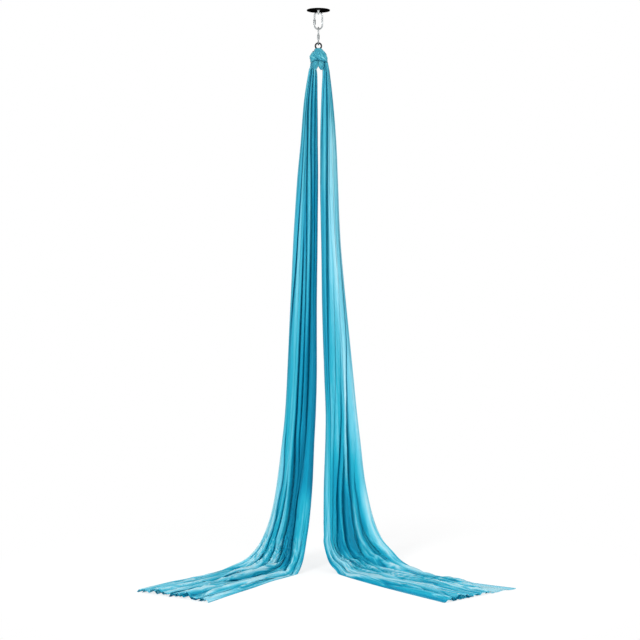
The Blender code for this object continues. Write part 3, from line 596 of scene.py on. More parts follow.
def creases(lines, t, x):
    # raised (+) or sunken (-) lines, which fade in and out beyond their first and last keys
    lift, tone = 0.0, 0.0
    beyond, within = silks["creaseEnds"]
    for keys in lines:
        first, last = keys[0][0], keys[-1][0]
        if first - beyond < t < last + beyond:
            place, height, *reach = between(keys, t)
            shown = smoothStep(first - beyond, first + within, t)
            shown *= 1 - smoothStep(last - within, last + beyond, t)
            away = (x - place) / (reach[0] if reach else silks["creaseReach"])
            here = bell(away) * shown
            dip = 0.5 * bell(away - 1.7) * shown if height > 0 else 0.0
            lift += height * (here - dip)
            # painted highlight on a raised crease and painted shade in a sunken one
            tone += here * silks["creaseLightShade"][height <= 0] * height
    return lift, tone


def pinch(value, reach):
    # where a noise crosses zero the cloth is pinched: a groove with a crest beside it
    groove = bell(value / reach * 1.6)
    crest = bell((value / reach - 1.0) * 1.8)
    return groove, crest


def softFloor(z, floor, reach):
    # what would sink under the floor lies on it instead, just above
    lift = z - floor
    return floor + (lift if lift > reach else reach * math.exp((lift - reach) / reach))


# The small folds come from noises: how many cells each has to the width, then to the metre. The
# weights say how much a fold counts where the cloth hangs, then how much more in the bend above the
# floor, and how much more where it lies.
smallFolds = {
    "bend": (13.4, 1.9),          # the row where the cloth bends on to the floor, and its reach
    "lyingRows": (12.5, 16),
    "ripple": (7, 0.7),
    "strand": (26, 0.9),
    "lens": (7.5, 1.1),
    "fine": (17, 2.2),
    "slack": (8, 1.9),
    "rippleLift": 0.007,
    "strandLift": 0.0035,
    "swayOut": 0.003,
    "strandOnFloor": (0.006, 0.004),       # its further lift there, and that of its pinched lines
    # paler where ripples and strands lift the cloth and deeper where they sink it: painted light and shade
    "rippleLight": 0.26,
    "strandLight": 0.12,
    "pinchedLightShade": (0.32, 0.42),           # of a pinched strand: painted highlight on its crest and painted shade in its groove
    "foldShade": (0.02, 0.30),              # painted shade in any fold, and deeper by its strength squared
    "crownHighlight": (0.3, 0.1),               # on the floor: painted highlight on the crowns, and deeper all over
    "weights": {
        "flow": (0.35, 0.8, 0.35),
        "lensReach": (0.09, 0.0, 0.07),
        "lensLift": (0.0012, 0.009, 0.013),
        # paler crests and darker grooves of the lenses and fine lines: painted highlight and painted shade
        "lensHighlight": (0.03, 0.13, 0.16),
        "lensShade": (0.04, 0.20, 0.26),
        "fineReach": (0.12, 0.0, 0.05),
        "fineLift": (0.0008, 0.005, 0.007),
        "fineHighlight": (0.02, 0.10, 0.10),
        "fineShade": (0.02, 0.10, 0.16),
        "slackLift": (0.0, 0.014, 0.018),
        "pinched": (0.12, 0.25, 0.75),
        "creased": (0.10, 0.5, 0.8),
    },
}


def weigh(bend, lying):
    return {word: hanging + inBend * bend + onFloor * lying
            for word, (hanging, inBend, onFloor) in smallFolds["weights"].items()}


def frameAt(rows, half, t):
    # near and far edge, depth, the way along and the outward normal at one place down the bundle
    near, far, depth = sectionAt(rows, half, t)
    before = sectionAt(rows, half, max(-1, t - 0.25))
    after = sectionAt(rows, half, min(len(rows) - 1, t + 0.25))
    run = (after[0] + after[1] - before[0] - before[1]).normalized()
    normal = run.cross((far - near).normalized()).normalized() * half["side"]
    if t < 0.3:
        # in the knot the front faces straight ahead
        normal = Vector((0, -1, 0)).lerp(normal, t / 0.3).normalized()
    return near, far, depth, run, normal


def foldsAt(half, t, along, lying):
    # where the large folds lie across the bundle, the sections between them and how deep they are
    keys = [between(fold, t) for fold in half["folds"]]
    places, shapes = [0.0], [edgeShape]
    for k, (place, strength, *openness) in enumerate(keys):
        # on the floor a fold wanders, and here and there it bursts open
        wander = noiseAt(k * 5.1, along * 1.7, half["seed"] + 21)
        burst = max(0.0, noiseAt(k * 7.3, along * 2.6, half["seed"] + 33) * 2.2 - 0.25)
        mouth = (openness[0] if openness else 0) + burst * lying * 0.8
        places.append(place + 0.035 * lying * wander)
        shapes.append(halfLobe(max(0.0, strength), max(0.0, mouth), lying))
    return [*places, 1.0], [*shapes, edgeShape], [0.0, *(key[1] for key in keys), 0.0]


# The far corner of a half that has one: past a small roll, one layer lies open on the floor.
openCorner = {
    "wander": 0.05,               # of its edge, as a share of the width
    "roll": (0.035, 0.008),       # reach as a share of the width, and height
    "sink": (0.6, 0.50),          # how much lower the bunch beside it gets, over which share
    "sinkRows": (17.6, 18.6),
    "layerHeight": 0.0030,
    # painted light: how pale the single open layer is
    "paintedPaleness": 0.42,
    "shade": (0.5, 0.018),        # the painted shadow along its edge: strength and reach
}


def layCorner(half, t, x, spot, hull, level, ripple, tone):
    # moves the spot, and gives how far the layer is open there and the spot's new tone: painted light on the
    # open layer and on the roll, painted shadow along the edge
    floor = room["floorZ"]
    edge = between(half["flat"], t)[0]
    edge += openCorner["wander"] * noiseAt(t * 3.1, 0.0, half["seed"])
    opened = smoothStep(edge - 0.02, edge + 0.05, x)
    reach, height = openCorner["roll"]
    roll = bell((x - edge + 0.05) / reach)
    lower, over = openCorner["sink"]
    sunk = smoothStep(edge - over, edge, x) * smoothStep(*openCorner["sinkRows"], t)
    spot.z -= (spot.z - floor) * lower * sunk
    spot.z += height * roll * hull
    layer = floor + openCorner["layerHeight"] + 0.0018 * level + 0.004 * ripple
    spot.z += (layer - spot.z) * opened
    tone += (openCorner["paintedPaleness"] + 0.2 * ripple - tone) * opened + 0.2 * roll
    strength, reach = openCorner["shade"]
    return opened, tone - strength * bell((x - edge - 0.01) / reach)


def makeSilk(word, half):
    rows = edgeRows(half)
    lobes, perLobe, perRow = silks["lobes"], silks["columnsPerLobe"], silks["stationsPerRow"]
    last = len(rows) - 1
    columns = lobes * perLobe + 1
    seed = half["seed"]
    ripples, strands, lenses, fines, slacks = (
        smallFolds[name] for name in ("ripple", "strand", "lens", "fine", "slack"))
    strandMore, pinchedLift = smallFolds["strandOnFloor"]
    anyFold, strongFold = smallFolds["foldShade"]
    crestLight, grooveShade = smallFolds["pinchedLightShade"]
    crown, allOver = smallFolds["crownHighlight"]
    spots, metres = [], []
    thin, creased, dull = [], [], []
    alongFrom = None
    along, flow = 0.0, 0.0
    stations = [i / perRow for i in range(-perRow, last * perRow + 1)]
    for t in stations:
        near, far, depth, run, normal = frameAt(rows, half, t)
        across = far - near
        middle = (near + far) / 2
        lying = smoothStep(*smallFolds["lyingRows"], t)
        bendRow, bendReach = smallFolds["bend"]
        bend = bell((t - bendRow) / bendReach)
        weights = weigh(bend, lying)
        if alongFrom is not None:
            along += (middle - alongFrom).length
            flow += (middle - alongFrom).length * weights["flow"]
        alongFrom = middle
        grown = clamp(t)
        places, shapes, strengths = foldsAt(half, t, along, lying)
        for i in range(columns):
            # q counts lobes across, x is the share of the width and level the depth in the bundle
            q = min(lobes - 1e-6, i / perLobe)
            k = int(q)
            f = q - k
            low, high = places[k], places[k + 1]
            shape = shapes[k] if f < 0.5 else shapes[k + 1]
            part, level = alongShape(shape, 1 - abs(2 * f - 1))
            x = low + (high - low) * (part if f < 0.5 else 1 - part)
            front = smoothStep(-0.2, 0.8, level)
            hull = (1 - abs(2 * clamp(x) - 1) ** silks["hullFullness"]) ** 0.5
            edged = 0.25 + 0.75 * hull
            level -= front * softPatch(half["recessed"], t, q)
            uneven = noiseAt(k * 3.3 + f, along * (0.9 + lying), seed)
            level *= hull * (0.9 + (0.2 + 0.7 * lying) * uneven)

            ripple = noiseAt(x * ripples[0] + seed, along * ripples[1], level * 0.7)
            strand = noiseAt(x * strands[0], along * strands[1], seed + 5)
            lens = noiseAt(x * lenses[0] + seed, flow * lenses[1], 2.0)
            fine = noiseAt(x * fines[0] - flow * 0.8, flow * fines[1], 5.0)
            slack = noiseAt(x * slacks[0] + along * 1.2, along * slacks[1], seed + 17)
            sway = noiseAt(q * 1.3, along * 1.6, seed + 2)
            lensGroove, lensCrest = pinch(lens, weights["lensReach"])
            fineGroove, fineCrest = pinch(fine, weights["fineReach"])
            strandGroove, strandCrest = pinch(strand, 0.13)
            creaseLift, creaseLightShade = creases(half["creases"], t, x)

            offset = depth / 2 * level
            offset += (ripple * smallFolds["rippleLift"] + strand * smallFolds["strandLift"]) * grown * edged
            offset += (lensCrest * 0.7 - lensGroove) * weights["lensLift"] * grown * edged
            offset += (fineCrest * 0.6 - fineGroove) * weights["fineLift"] * grown * edged
            offset += (slack * weights["slackLift"] + strand * strandMore * lying) * edged
            offset -= lying * depth / 2 * (1 - hull)
            offset += (0.7 * strandCrest - strandGroove) * pinchedLift * lying * edged
            offset += creaseLift * front

            # painted shade in the folds, then painted highlight and shade on crests, grooves, ripples, crowns
            # and creases
            folded = strengths[k + (f > 0.5)]
            inFold = (1 - smoothStep(0.02, 0.34, part)) * front
            tone = softPatch(half["paintedTones"], t, q) * front - inFold * (anyFold + strongFold * folded * folded)
            tone += lensCrest * weights["lensHighlight"] - lensGroove * weights["lensShade"]
            tone += fineCrest * weights["fineHighlight"] - fineGroove * weights["fineShade"]
            tone += (crestLight * strandCrest - grooveShade * strandGroove) * weights["pinched"]
            tone += smallFolds["rippleLight"] * ripple + smallFolds["strandLight"] * strand
            tone += lying * front * (crown * smoothStep(0.25, 0.5, part) - allOver)
            tone += creaseLightShade * front

            spot = near + across * x + normal * offset
            spot += across.normalized() * sway * smallFolds["swayOut"] * grown
            if t > last - 1:
                # each roll of the hem ends a little further on or back
                roll = 0.6 * level + noiseAt(q * 1.9, 4.0, seed)
                spot += run * silks["hemUneven"] * roll * (t - last + 1) ** 2
            spot.z = softFloor(spot.z, room["floorZ"] + 0.0006, 0.004)
            if half["flat"] and t > half["flat"][0][0]:
                opened, tone = layCorner(half, t, x, spot, hull, level, ripple, tone)
                lying *= 1 - opened
                weights = weigh(bend, lying)
            spots.append(spot)
            metres.append((q / lobes * cloth["width"], along))
            # painted light above 0.5 and painted shade below it
            thin.append(0.5 + tone)
            creased.append(weights["creased"])
            dull.append(0.85 * (1 - smoothStep(3.5, 9, t)))
    faces = [face if half["side"] > 0 else face[::-1] for face in gridFaces(len(stations), columns)]
    made = makeCloth(f"{word}SilkCloth", spots, faces, metres,
                     thinShare=thin, creaseShare=creased, dullShare=dull)
    print(word, "silk:", len(faces) * 2, "triangles,", round(along, 2), "m long")
    return made, [spots[i:i + columns] for i in range(0, len(spots), columns)], thin[-columns:]


halves = {"left": leftHalf, "right": rightHalf}
silkGrids = {}
silkPieces = {}
endTones = {}
for word, half in halves.items():
    silkPieces[word], silkGrids[word], endTones[word] = makeSilk(word, half)
    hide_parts(f"{word}_silk")


def blendSilk(piece):
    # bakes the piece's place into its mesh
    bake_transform(piece)


def plainMesh(piece):
    # what its modifiers make of a piece
    return bpy.data.meshes.new_from_object(piece.evaluated_get(bpy.context.evaluated_depsgraph_get()))


def openTree(name, sockets):
    # a geometry tree with its named inputs, each given as a word and a kind
    tree = bpy.data.node_groups.new(name, "GeometryNodeTree")
    for word, kind in sockets.items():
        tree.interface.new_socket(word, in_out="INPUT", socket_type=f"NodeSocket{kind}")
    tree.interface.new_socket("Geometry", in_out="OUTPUT", socket_type="NodeSocketGeometry")
    return tree, addNode(tree, "NodeGroupInput").outputs


def applyTree(piece, tree, **values):
    # run a geometry tree on a piece and keep the result as its plain mesh
    step = piece.modifiers.new(tree.name, "NODES")
    step.node_group = tree
    for item in tree.interface.items_tree:
        if item.in_out == "INPUT" and item.name in values:
            step[item.identifier] = values[item.name]
    mesh = plainMesh(piece)
    piece.modifiers.remove(step)
    piece.data = mesh


# Hems and selvedges: the end of each half is folded over and stitched, its sides curl into a roll.
hem = {
    "band": 0.014,                # how wide the folded band is
    "thick": 0.0012,
    "stitchLine": 0.011,          # from the edge
    "pitch": 0.0045,
    "stitch": (0.0034, 0.0008, 0.0008),    # length, width and height, drawn a little thick
    "curl": 0.0016,               # radius of the rolled selvedge
    "thread": ("#0E7E9C", "#1C98B4"),      # painted shade in its twist and painted highlight on it
}


def threadLook():
    # polyester thread in the cloth's own colour, twisted; its fine dark and light line is painted shade and
    # painted highlight
    made, tree = newMaterial("polyesterThread")
    place = addNode(tree, "ShaderNodeTexCoord").outputs["Object"]
    twist = addNode(tree, "ShaderNodeTexNoise", {"Vector": place, "Scale": 700.0, "Detail": 2.0})
    dyeAndShade = addNode(tree, "ShaderNodeValToRGB", {"Fac": twist})
    setRamp(dyeAndShade, list(zip((0.35, 0.65), hem["thread"])))
    bump = addNode(tree, "ShaderNodeBump", {"Height": twist, "Strength": 0.4, "Distance": 0.0002})
    closeMaterial(tree, addNode(tree, "ShaderNodeBsdfPrincipled",
                                {"Base Color": dyeAndShade, "Roughness": 0.45, "Normal": bump}))
    return made


def stitchTree():
    # long beads laid end to end along a line of edges
    tree, given = openTree("stitchRun", {"Path": "Geometry", "Pitch": "Float", "Stitch": "Vector",
                                         "Finish": "Material"})
    line = addNode(tree, "GeometryNodeMeshToCurve", {"Mesh": given["Path"]})
    spots = addNode(tree, "GeometryNodeResampleCurve", {"Curve": line, "Length": given["Pitch"]},
                    mode="LENGTH")
    way = addNode(tree, "GeometryNodeInputTangent")
    turn = addNode(tree, "FunctionNodeAlignRotationToVector", {"Vector": way}, axis="X")
    bead = addNode(tree, "GeometryNodeMeshUVSphere", {"Segments": 6, "Rings": 4, "Radius": 0.5})
    placed = addNode(tree, "GeometryNodeInstanceOnPoints",
                     {"Points": spots, "Instance": bead, "Rotation": turn, "Scale": given["Stitch"]})
    real = addNode(tree, "GeometryNodeRealizeInstances", {"Geometry": placed})
    done = addNode(tree, "GeometryNodeSetMaterial", {"Geometry": real, "Material": given["Finish"]})
    addNode(tree, "NodeGroupOutput", {"Geometry": done})
    return tree


def makeHemBand(word, rows, paintedTones):
    # both faces of the folded hem, wrapped over the last of the cloth, and its two lines of stitches
    last, before = rows[-1], rows[-2]
    ways = [(b - a).normalized() for a, b in zip(last, before)]
    spots, outs = [], []
    count = len(last)
    lines = [(hem["band"], 1), (hem["stitchLine"], 1.1), (0.004, 1.2), (0.0, 0.9), (-0.0006, 0.0),
             (0.0, -0.9), (0.004, -1.2), (hem["stitchLine"], -1.1), (hem["band"], -1)]
    for c in range(count):
        beside = last[min(count - 1, c + 1)] - last[max(0, c - 1)]
        out = ways[c].cross(beside)
        outs.append(out.normalized() if out.length > 1e-9 else Vector((0, 0, 1)))
    for away, side in lines:
        for c in range(count):
            spots.append(last[c] + ways[c] * away + outs[c] * hem["thick"] / 2 * side)
    faces = gridFaces(len(lines), count, joinRows=True, turned=True)
    faces.append(tuple(r * count for r in reversed(range(len(lines)))))
    faces.append(tuple(r * count + count - 1 for r in range(len(lines))))
    metres = [(c / count * cloth["width"], cloth["length"]) for c in range(count)] * len(lines)
    # the hem takes the painted light and shade of the cloth's last row
    thin = [0.10 + 0.85 * tone for tone in paintedTones] * len(lines)
    piece = makeCloth(f"{word}HemBand", spots, faces, metres, thinShare=thin, creaseShare=0.3, dullShare=0.0)
    run = []
    for side in (-0.6, 0.6):
        for c in range(count):
            run.append(last[c] + ways[c] * hem["stitchLine"] + outs[c] * hem["thick"] * side)
    return piece, run


def makeSelvedge(word, name, line):
    # the knit's side curls into a thin roll all the way down
    spots = []
    sides = 6
    for i, spot in enumerate(line):
        way = (line[min(len(line) - 1, i + 1)] - line[max(0, i - 1)]).normalized()
        across = way.cross(Vector((0, 1, 0.2))).normalized()
        other = way.cross(across)
        size = hem["curl"] * (1 + 0.25 * noiseAt(i * 0.21, len(word), 4))
        for k in range(sides):
            turn = math.tau * k / sides
            point = spot + across * size * math.cos(turn) + other * size * math.sin(turn)
            point.z = max(point.z, room["floorZ"] + 0.0003)
            spots.append(point)
    faces = gridFaces(len(line), sides, joinColumns=True)
    faces.append(tuple(reversed(range(sides))))
    faces.append(tuple(len(spots) - sides + k for k in range(sides)))
    metres = [(i % sides * 0.002, i // sides * 0.015) for i in range(len(spots))]
    return makeCloth(f"{word}{name}Selvedge", spots, faces, metres,
                     thinShare=0.5, creaseShare=0.0, dullShare=0.2)


stitches = stitchTree()
thread = threadLook()
silkTrims = {word: [] for word in halves}
for word, rows in silkGrids.items():
    band, line = makeHemBand(word, rows, endTones[word])
    run = makeMesh(f"{word}HemStitches", line, [], thread)
    starts = [i for i in range(len(line) - 1) if i != len(line) // 2 - 1]
    run.data.edges.add(len(starts))
    for edge, i in zip(run.data.edges, starts):
        edge.vertices = (i, i + 1)
    applyTree(run, stitches, Pitch=hem["pitch"], Stitch=hem["stitch"], Finish=thread)
    silkTrims[word] += [band, run]
    silkTrims[word].append(makeSelvedge(word, "Inner", [row[0] for row in rows]))
    silkTrims[word].append(makeSelvedge(word, "Outer", [row[-1] for row in rows]))
    for piece in silkTrims[word]:
        blendSilk(piece)
    faces = sum(len(piece.data.polygons) for piece in silkTrims[word])
    print(word, "hem, stitches and selvedges:", faces, "faces")

# The cloth tied round the eight: a hood over it, and a turn that hangs on each side.
hitch = {
    "topZ": -0.2466,
    "halfWidth": 0.058,
    "halfDepth": 0.031,
    "hoodHeight": 0.076,
    "edgeSlope": 0.2,             # how far the hood's edge falls towards its sides
    "fullness": 0.8,
    "ringPoints": 360,
    "pleats": 13.5,
    "pleatDepth": 0.0080,
    "lean": 0.0035,               # its lower edge lies a little to the right
    "crossing": (0.0, -0.322),    # where the two turns cross in front, x and z
    # dents (+) and bulges (-) of the hood: x, z, reach and depth. One ear of the eight stands out of
    # the first, and the second is the left shoulder.
    "dents": [(-0.0375, -0.2640, 0.009, 0.010), (-0.054, -0.302, 0.011, -0.004)],
    "crossingDent": (0.014, 0.008),        # reach and depth, in front alone
    "hoodSteps": (110, 16),       # rings down to its edge, and of the cloth tucked in behind it
    "tuckIn": (0.16, 0.20),       # how much narrower and shallower the tucked cloth gets
    "tuckRise": (0.004, 0.002),   # half of its way back up, and its dip before that
    "fanFrom": (0.022, 0.020),    # its right pleats' centre, left of the middle and above the top
    "meetAt": (0.016, 0.006),     # its left pleats' centre, right of the crossing and below it
    "fanSides": (-0.026, 0.010),  # x over which the left pleats turn into the right ones
    "phaseCells": (28, 22, 28),   # cells to the metre of what bends the pleats
    "depthCells": 45,             # and of what makes them deeper and shallower
    "patchCells": (36, 20),       # and of the paler and deeper patches, across and to the back
    "turnSteps": 80,
    "turnPleats": 7,              # half as many as there are round each turn
    "turnFold": (0.16, 0.1),      # their depth as a share, and how much it varies
    "turnBelly": 0.06,
    "tone": 0.34,
    "turnTone": 0.38,
    # edges of the wraps: from x, z to x, z, reach and tone, which is painted shade (-) or painted highlight
    # (+)
    "wraps": [
        (-0.031, -0.287, -0.001, -0.329, 0.0040, -0.34), (-0.024, -0.281, 0.010, -0.322, 0.0045, 0.10),
        (-0.001, -0.296, 0.058, -0.327, 0.0040, 0.20), (0.008, -0.308, 0.055, -0.338, 0.0035, -0.30),
        (0.004, -0.262, 0.050, -0.300, 0.0050, -0.18), (-0.052, -0.318, -0.012, -0.326, 0.0040, -0.24),
        (-0.052, -0.300, -0.014, -0.316, 0.0045, 0.10), (0.020, -0.316, 0.050, -0.336, 0.0025, 0.20),
    ],
    # height share, half width and half depth as shares
    "hoodRows": [
        (-0.035, 0.0, 0.0), (-0.03, 0.12, 0.18), (0.0, 0.28, 0.42), (0.06, 0.42, 0.60),
        (0.17, 0.58, 0.78), (0.34, 0.78, 0.92), (0.55, 0.94, 1.0), (0.80, 1.0, 1.0), (1.0, 0.99, 0.98),
    ],
    # height, front and back in metres, then each side's inner and outer edge
    "turnRows": [
        (-0.3170, -0.0160, 0.022, -0.0004, 0.0385, -0.0004, 0.0340),
        (-0.3260, -0.0215, 0.025, -0.0007, 0.0410, -0.0007, 0.0360),
        (-0.3350, -0.0275, 0.024, -0.0007, 0.0418, -0.0007, 0.0368),
        (-0.3430, -0.0305, 0.014, -0.0007, 0.0415, -0.0007, 0.0365),
        (-0.3520, -0.0300, 0.003, -0.0006, 0.0405, -0.0006, 0.0360),
        (-0.3620, -0.0285, -0.0005, -0.0002, 0.0390, -0.0002, 0.0350),
        (-0.3700, -0.0255, -0.001, 0.0040, 0.0362, 0.0030, 0.0335),
        (-0.3790, -0.0210, -0.002, 0.0095, 0.0325, 0.0080, 0.0308),
        (-0.3848, -0.0160, -0.004, 0.0150, 0.0285, 0.0125, 0.0270),
        (-0.3864, -0.0120, -0.007, 0.0190, 0.0245, 0.0165, 0.0230),
    ],
}


def pleatWave(phase):
    # round crowns with narrow valleys between them
    return (math.sin(phase) ** 2 + 0.02) ** 0.35


def roundTheHitch():
    # once round a section that is fuller than an ellipse: the turn, and the place across and along
    for c in range(hitch["ringPoints"]):
        turn = math.tau * c / hitch["ringPoints"]
        yield turn, *(math.copysign(abs(part) ** hitch["fullness"], part)
                      for part in (math.cos(turn), math.sin(turn)))


def closeRings(name, rings, ends, thin):
    # a skin over rings of points, closed by a point at each given end
    spots = [spot for ring in rings for spot in ring]
    count = len(rings[0])
    faces = gridFaces(len(rings), count, joinColumns=True)
    for end in ends:
        ring = rings[end]
        first = (len(rings) - 1) * count if end else 0
        spots.append(sum(ring, Vector()) / count)
        thin.append(0.5)
        for c in range(count):
            pair = (first + c, first + (c + 1) % count)
            faces.append((*(pair if end else pair[::-1]), len(spots) - 1))
    metres = [(math.atan2(spot.x, -spot.y) * hitch["halfWidth"] * 3, spot.z) for spot in spots]
    made = makeCloth(name, spots, faces, metres, thinShare=thin, creaseShare=0.0, dullShare=1.0)
    work = bmesh.new()
    work.from_mesh(made.data)
    bmesh.ops.recalc_face_normals(work, faces=work.faces)
    work.to_mesh(made.data)
    work.free()
    return made


def wrapLightShade(x, z):
    # painted shade (-) and painted highlight (+) along the edges where the turns of cloth lie over each other
    tone = 0.0
    for fromX, fromZ, toX, toZ, reach, strength in hitch["wraps"]:
        way = Vector((toX - fromX, toZ - fromZ))
        along = clamp(Vector((x - fromX, z - fromZ)).dot(way) / way.length_squared)
        away = math.hypot(x - fromX - way.x * along, z - fromZ - way.y * along) / reach
        tone += strength * bell(away)
    return tone


def evenKeys(rows):
    # rows of a table as keys that are evenly spaced from 0 to 1
    return [(k / (len(rows) - 1), *row) for k, row in enumerate(rows)]


def makeHood():
    keys = evenKeys(hitch["hoodRows"])
    rings, thin = [], []
    steps, tuck = hitch["hoodSteps"]
    narrower, shallower = hitch["tuckIn"]
    rise, dip = hitch["tuckRise"]
    crossX, crossZ = hitch["crossing"]
    fanX, fanZ = hitch["fanFrom"]
    meetX, meetZ = hitch["meetAt"]
    bendX, bendY, bendZ = hitch["phaseCells"]
    patchX, patchY = hitch["patchCells"]
    cells = hitch["depthCells"]
    for i in range(1, steps + tuck + 1):
        height, half, deep = between(keys, min(1.0, i / steps))
        tucked = max(0, i - steps) / tuck  # past the edge the cloth turns in and back up
        half *= 1 - narrower * math.sin(tucked * math.pi / 2)
        deep *= 1 - shallower * math.sin(tucked * math.pi / 2)
        ring = []
        for _, across, along in roundTheHitch():
            x = hitch["halfWidth"] * half * across
            y = hitch["halfDepth"] * deep * along
            z = hitch["topZ"] - hitch["hoodHeight"] * height
            z -= hitch["edgeSlope"] * abs(x) * max(0, height) ** 2
            z += rise * (1 - math.cos(tucked * math.pi)) - dip * math.sin(tucked * math.pi)
            # on the right the pleats fan down from the top, on the left they run in to the crossing
            fromTop = math.atan2(x + fanX, hitch["topZ"] + fanZ - z)
            fromCrossing = math.atan2(z + meetZ - crossZ, crossX + meetX - x)
            mix = smoothStep(*hitch["fanSides"], x + 0.1 * (z - crossZ))
            phase = hitch["pleats"] * (mix * fromTop * 1.1 + (1 - mix) * (1.25 - fromCrossing))
            phase += 2.2 * noiseAt(x * bendX, y * bendY, z * bendZ)
            deepest = 0.55 + 0.9 * abs(noiseAt(x * cells, y * cells, z * cells + 3))
            wave = pleatWave(phase) * 0.75 + 0.25 * pleatWave(phase * 2.3 + 1)
            depth = hitch["pleatDepth"] * deepest * smoothStep(-0.06, 0.25, height) * (1 - 0.6 * tucked)
            inward = depth * (1 - wave)
            for dentX, dentZ, reach, dent in hitch["dents"]:
                away = math.hypot(x - dentX, z - dentZ) / reach
                inward += dent * bell(away)
            reach, dent = hitch["crossingDent"]
            middle = math.hypot((x - crossX) * 0.8, z - crossZ) / reach
            inward += dent * bell(middle) * (1 if y < 0 else 0)
            out = Vector((x / hitch["halfWidth"] ** 2, y / hitch["halfDepth"] ** 2, 0))
            out = out.normalized() if out.length else Vector((0, 0, 1))
            aside = Vector((hitch["lean"] * max(0, height) ** 2, 0, 0))
            ring.append(Vector((x, y, z)) - out * inward + aside)
            patchy = 0.22 * noiseAt(x * patchX + 4, y * patchY, z * patchX)
            # pleat crowns paler and valleys deeper: painted highlight and painted shade; deeper still in the
            # crossing's dent: painted shade
            tone = (0.55 * (wave - 0.80) + patchy) * smoothStep(-0.1, 0.3, height)
            tone -= 0.35 * bell(middle)
            thin.append(hitch["tone"] + tone + (wrapLightShade(x, z) if y < 0 else 0))
        rings.append(ring)
    return closeRings("hitchHood", rings, [0], thin)


def makeTurn(word, side):
    keys = evenKeys([(*row[:3], *row[3 if side < 0 else 5:][:2]) for row in hitch["turnRows"]])
    rings, thin = [], []
    usual, varied = hitch["turnFold"]
    patchX, patchY = hitch["patchCells"]
    for i in range(hitch["turnSteps"] + 1):
        share = i / hitch["turnSteps"]
        z, front, back, inner, outer = between(keys, share)
        ring = []
        for turn, across, along in roundTheHitch():
            drift = 0.5 * math.sin(share * 2.2 + side) + 0.35 * noiseAt(side * 5, share * 3, 1)
            phase = hitch["turnPleats"] * (turn + drift)
            phase += 1.6 * noiseAt(across * 2, along * 2, share * 4 + side)
            wave = pleatWave(phase) * 0.8 + 0.2 * pleatWave(phase * 2.1 + side)
            deepest = usual + varied * noiseAt(across * 3, along * 3, side * 4 + share * 2)
            fold = 1 - deepest * min(1, 4 * (1 - share) + 0.25) * 1.5 * (1 - wave)
            x = (inner + outer) / 2 + (outer - inner) / 2 * across * (fold if across > -0.85 else 1)
            y = (front + back) / 2 + (back - front) / 2 * along * fold
            drop = -hitch["edgeSlope"] * x * max(0, 1 - 3 * share)
            # the cloth bulges where the hood lets it go
            belly = 1 + hitch["turnBelly"] * math.sin(math.pi * min(1, share * 1.6))
            ring.append(Vector((side * x, y * belly, z + drop)))
            # the left turn has a painted highlight at its foot, the right one painted shade on its inner
            # side, and both are in the hood's painted shade at their top
            if side < 0:
                paintedLight = 0.45 * smoothStep(0.80, 0.95, share) - 0.15
            else:
                paintedLight = -0.35 * smoothStep(0.45, 0.8, share) * smoothStep(0.2, -0.6, across) - 0.08
            hoodShade = smoothStep(0.22, 0.05, share) * 0.4
            patchy = 0.3 * noiseAt(side * x * patchX, y * patchY, z * 30 + 8)
            # pleat crowns paler and valleys deeper: painted highlight and painted shade
            thin.append(hitch["turnTone"] + 0.7 * (wave - 0.75) + patchy + paintedLight - hoodShade)
        rings.append(ring)
    return closeRings(f"hitch{word.capitalize()}Turn", rings, [0, -1], thin)


hood = makeHood()
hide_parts("hitch_band")
hitchPieces = [hood]
for side, word in ((-1, "left"), (1, "right")):
    turn = makeTurn(word, side)
    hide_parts(f"hitch_{word}_turn")
    hitchPieces.append(turn)
for piece in hitchPieces:
    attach(piece, "eight")
for word, knot in (("left", hitchPieces[:2]), ("right", hitchPieces[2:])):
    blendSilk(silkPieces[word])
print("hitch:", sum(len(piece.data.polygons) for piece in hitchPieces) * 2, "triangles")

# Metal finishes. Each is named for what it is, with the patterns sized from the real grain, and has
# what is common to most unless it says otherwise.
carabiners = ("upper", "lower")
commonFinish = {"metal": 1.0, "grain": 900, "stretch": (1, 1, 1), "bump": 0.00001, "gloss": 0.5}
finishes = {
    "zincPlatedEye": {"nodes": ["hanger_eye"], "colour": "#C9CCCB", "worn": "#B4B8B7", "metal": 0.7,
                      "rough": (0.36, 0.48), "bump": 0.00002},
    "polishedSteel": {"nodes": [f"{word}_{part}" for word in carabiners
                                for part in ("carabiner_frame", "gate")],
                      "colour": "#A0A4A5", "worn": "#8E9293", "rough": (0.30, 0.42), "grain": 500,
                      "stretch": (1, 1, 0.12), "bump": 0.000012},
    "turnedPins": {"nodes": [f"{word}_gate_{part}" for word in carabiners
                             for part in ("hinge_pin", "latch_pin", "plunger", "spring")],
                   "colour": "#8A8E90", "worn": "#6C7072", "rough": (0.25, 0.40), "grain": 1400,
                   "stretch": (1, 1, 0.3)},
    "glossBlackPlate": {"nodes": ["ceiling_plate"], "colour": "#040404", "worn": "#080808", "metal": 0.0,
                        "rough": (0.16, 0.24), "grain": 260, "gloss": 0.0},
    "blackAnodised": {"nodes": ["rescue_eight"], "colour": "#0E1011", "worn": "#171A1B", "metal": 0.2,
                      "rough": (0.32, 0.48), "grain": 1100, "gloss": 0.3, "bare": "#9A9EA0",
                      "rubbedAt": (0.0, 0.0, -0.2176), "rubbedReach": 0.0062},
}


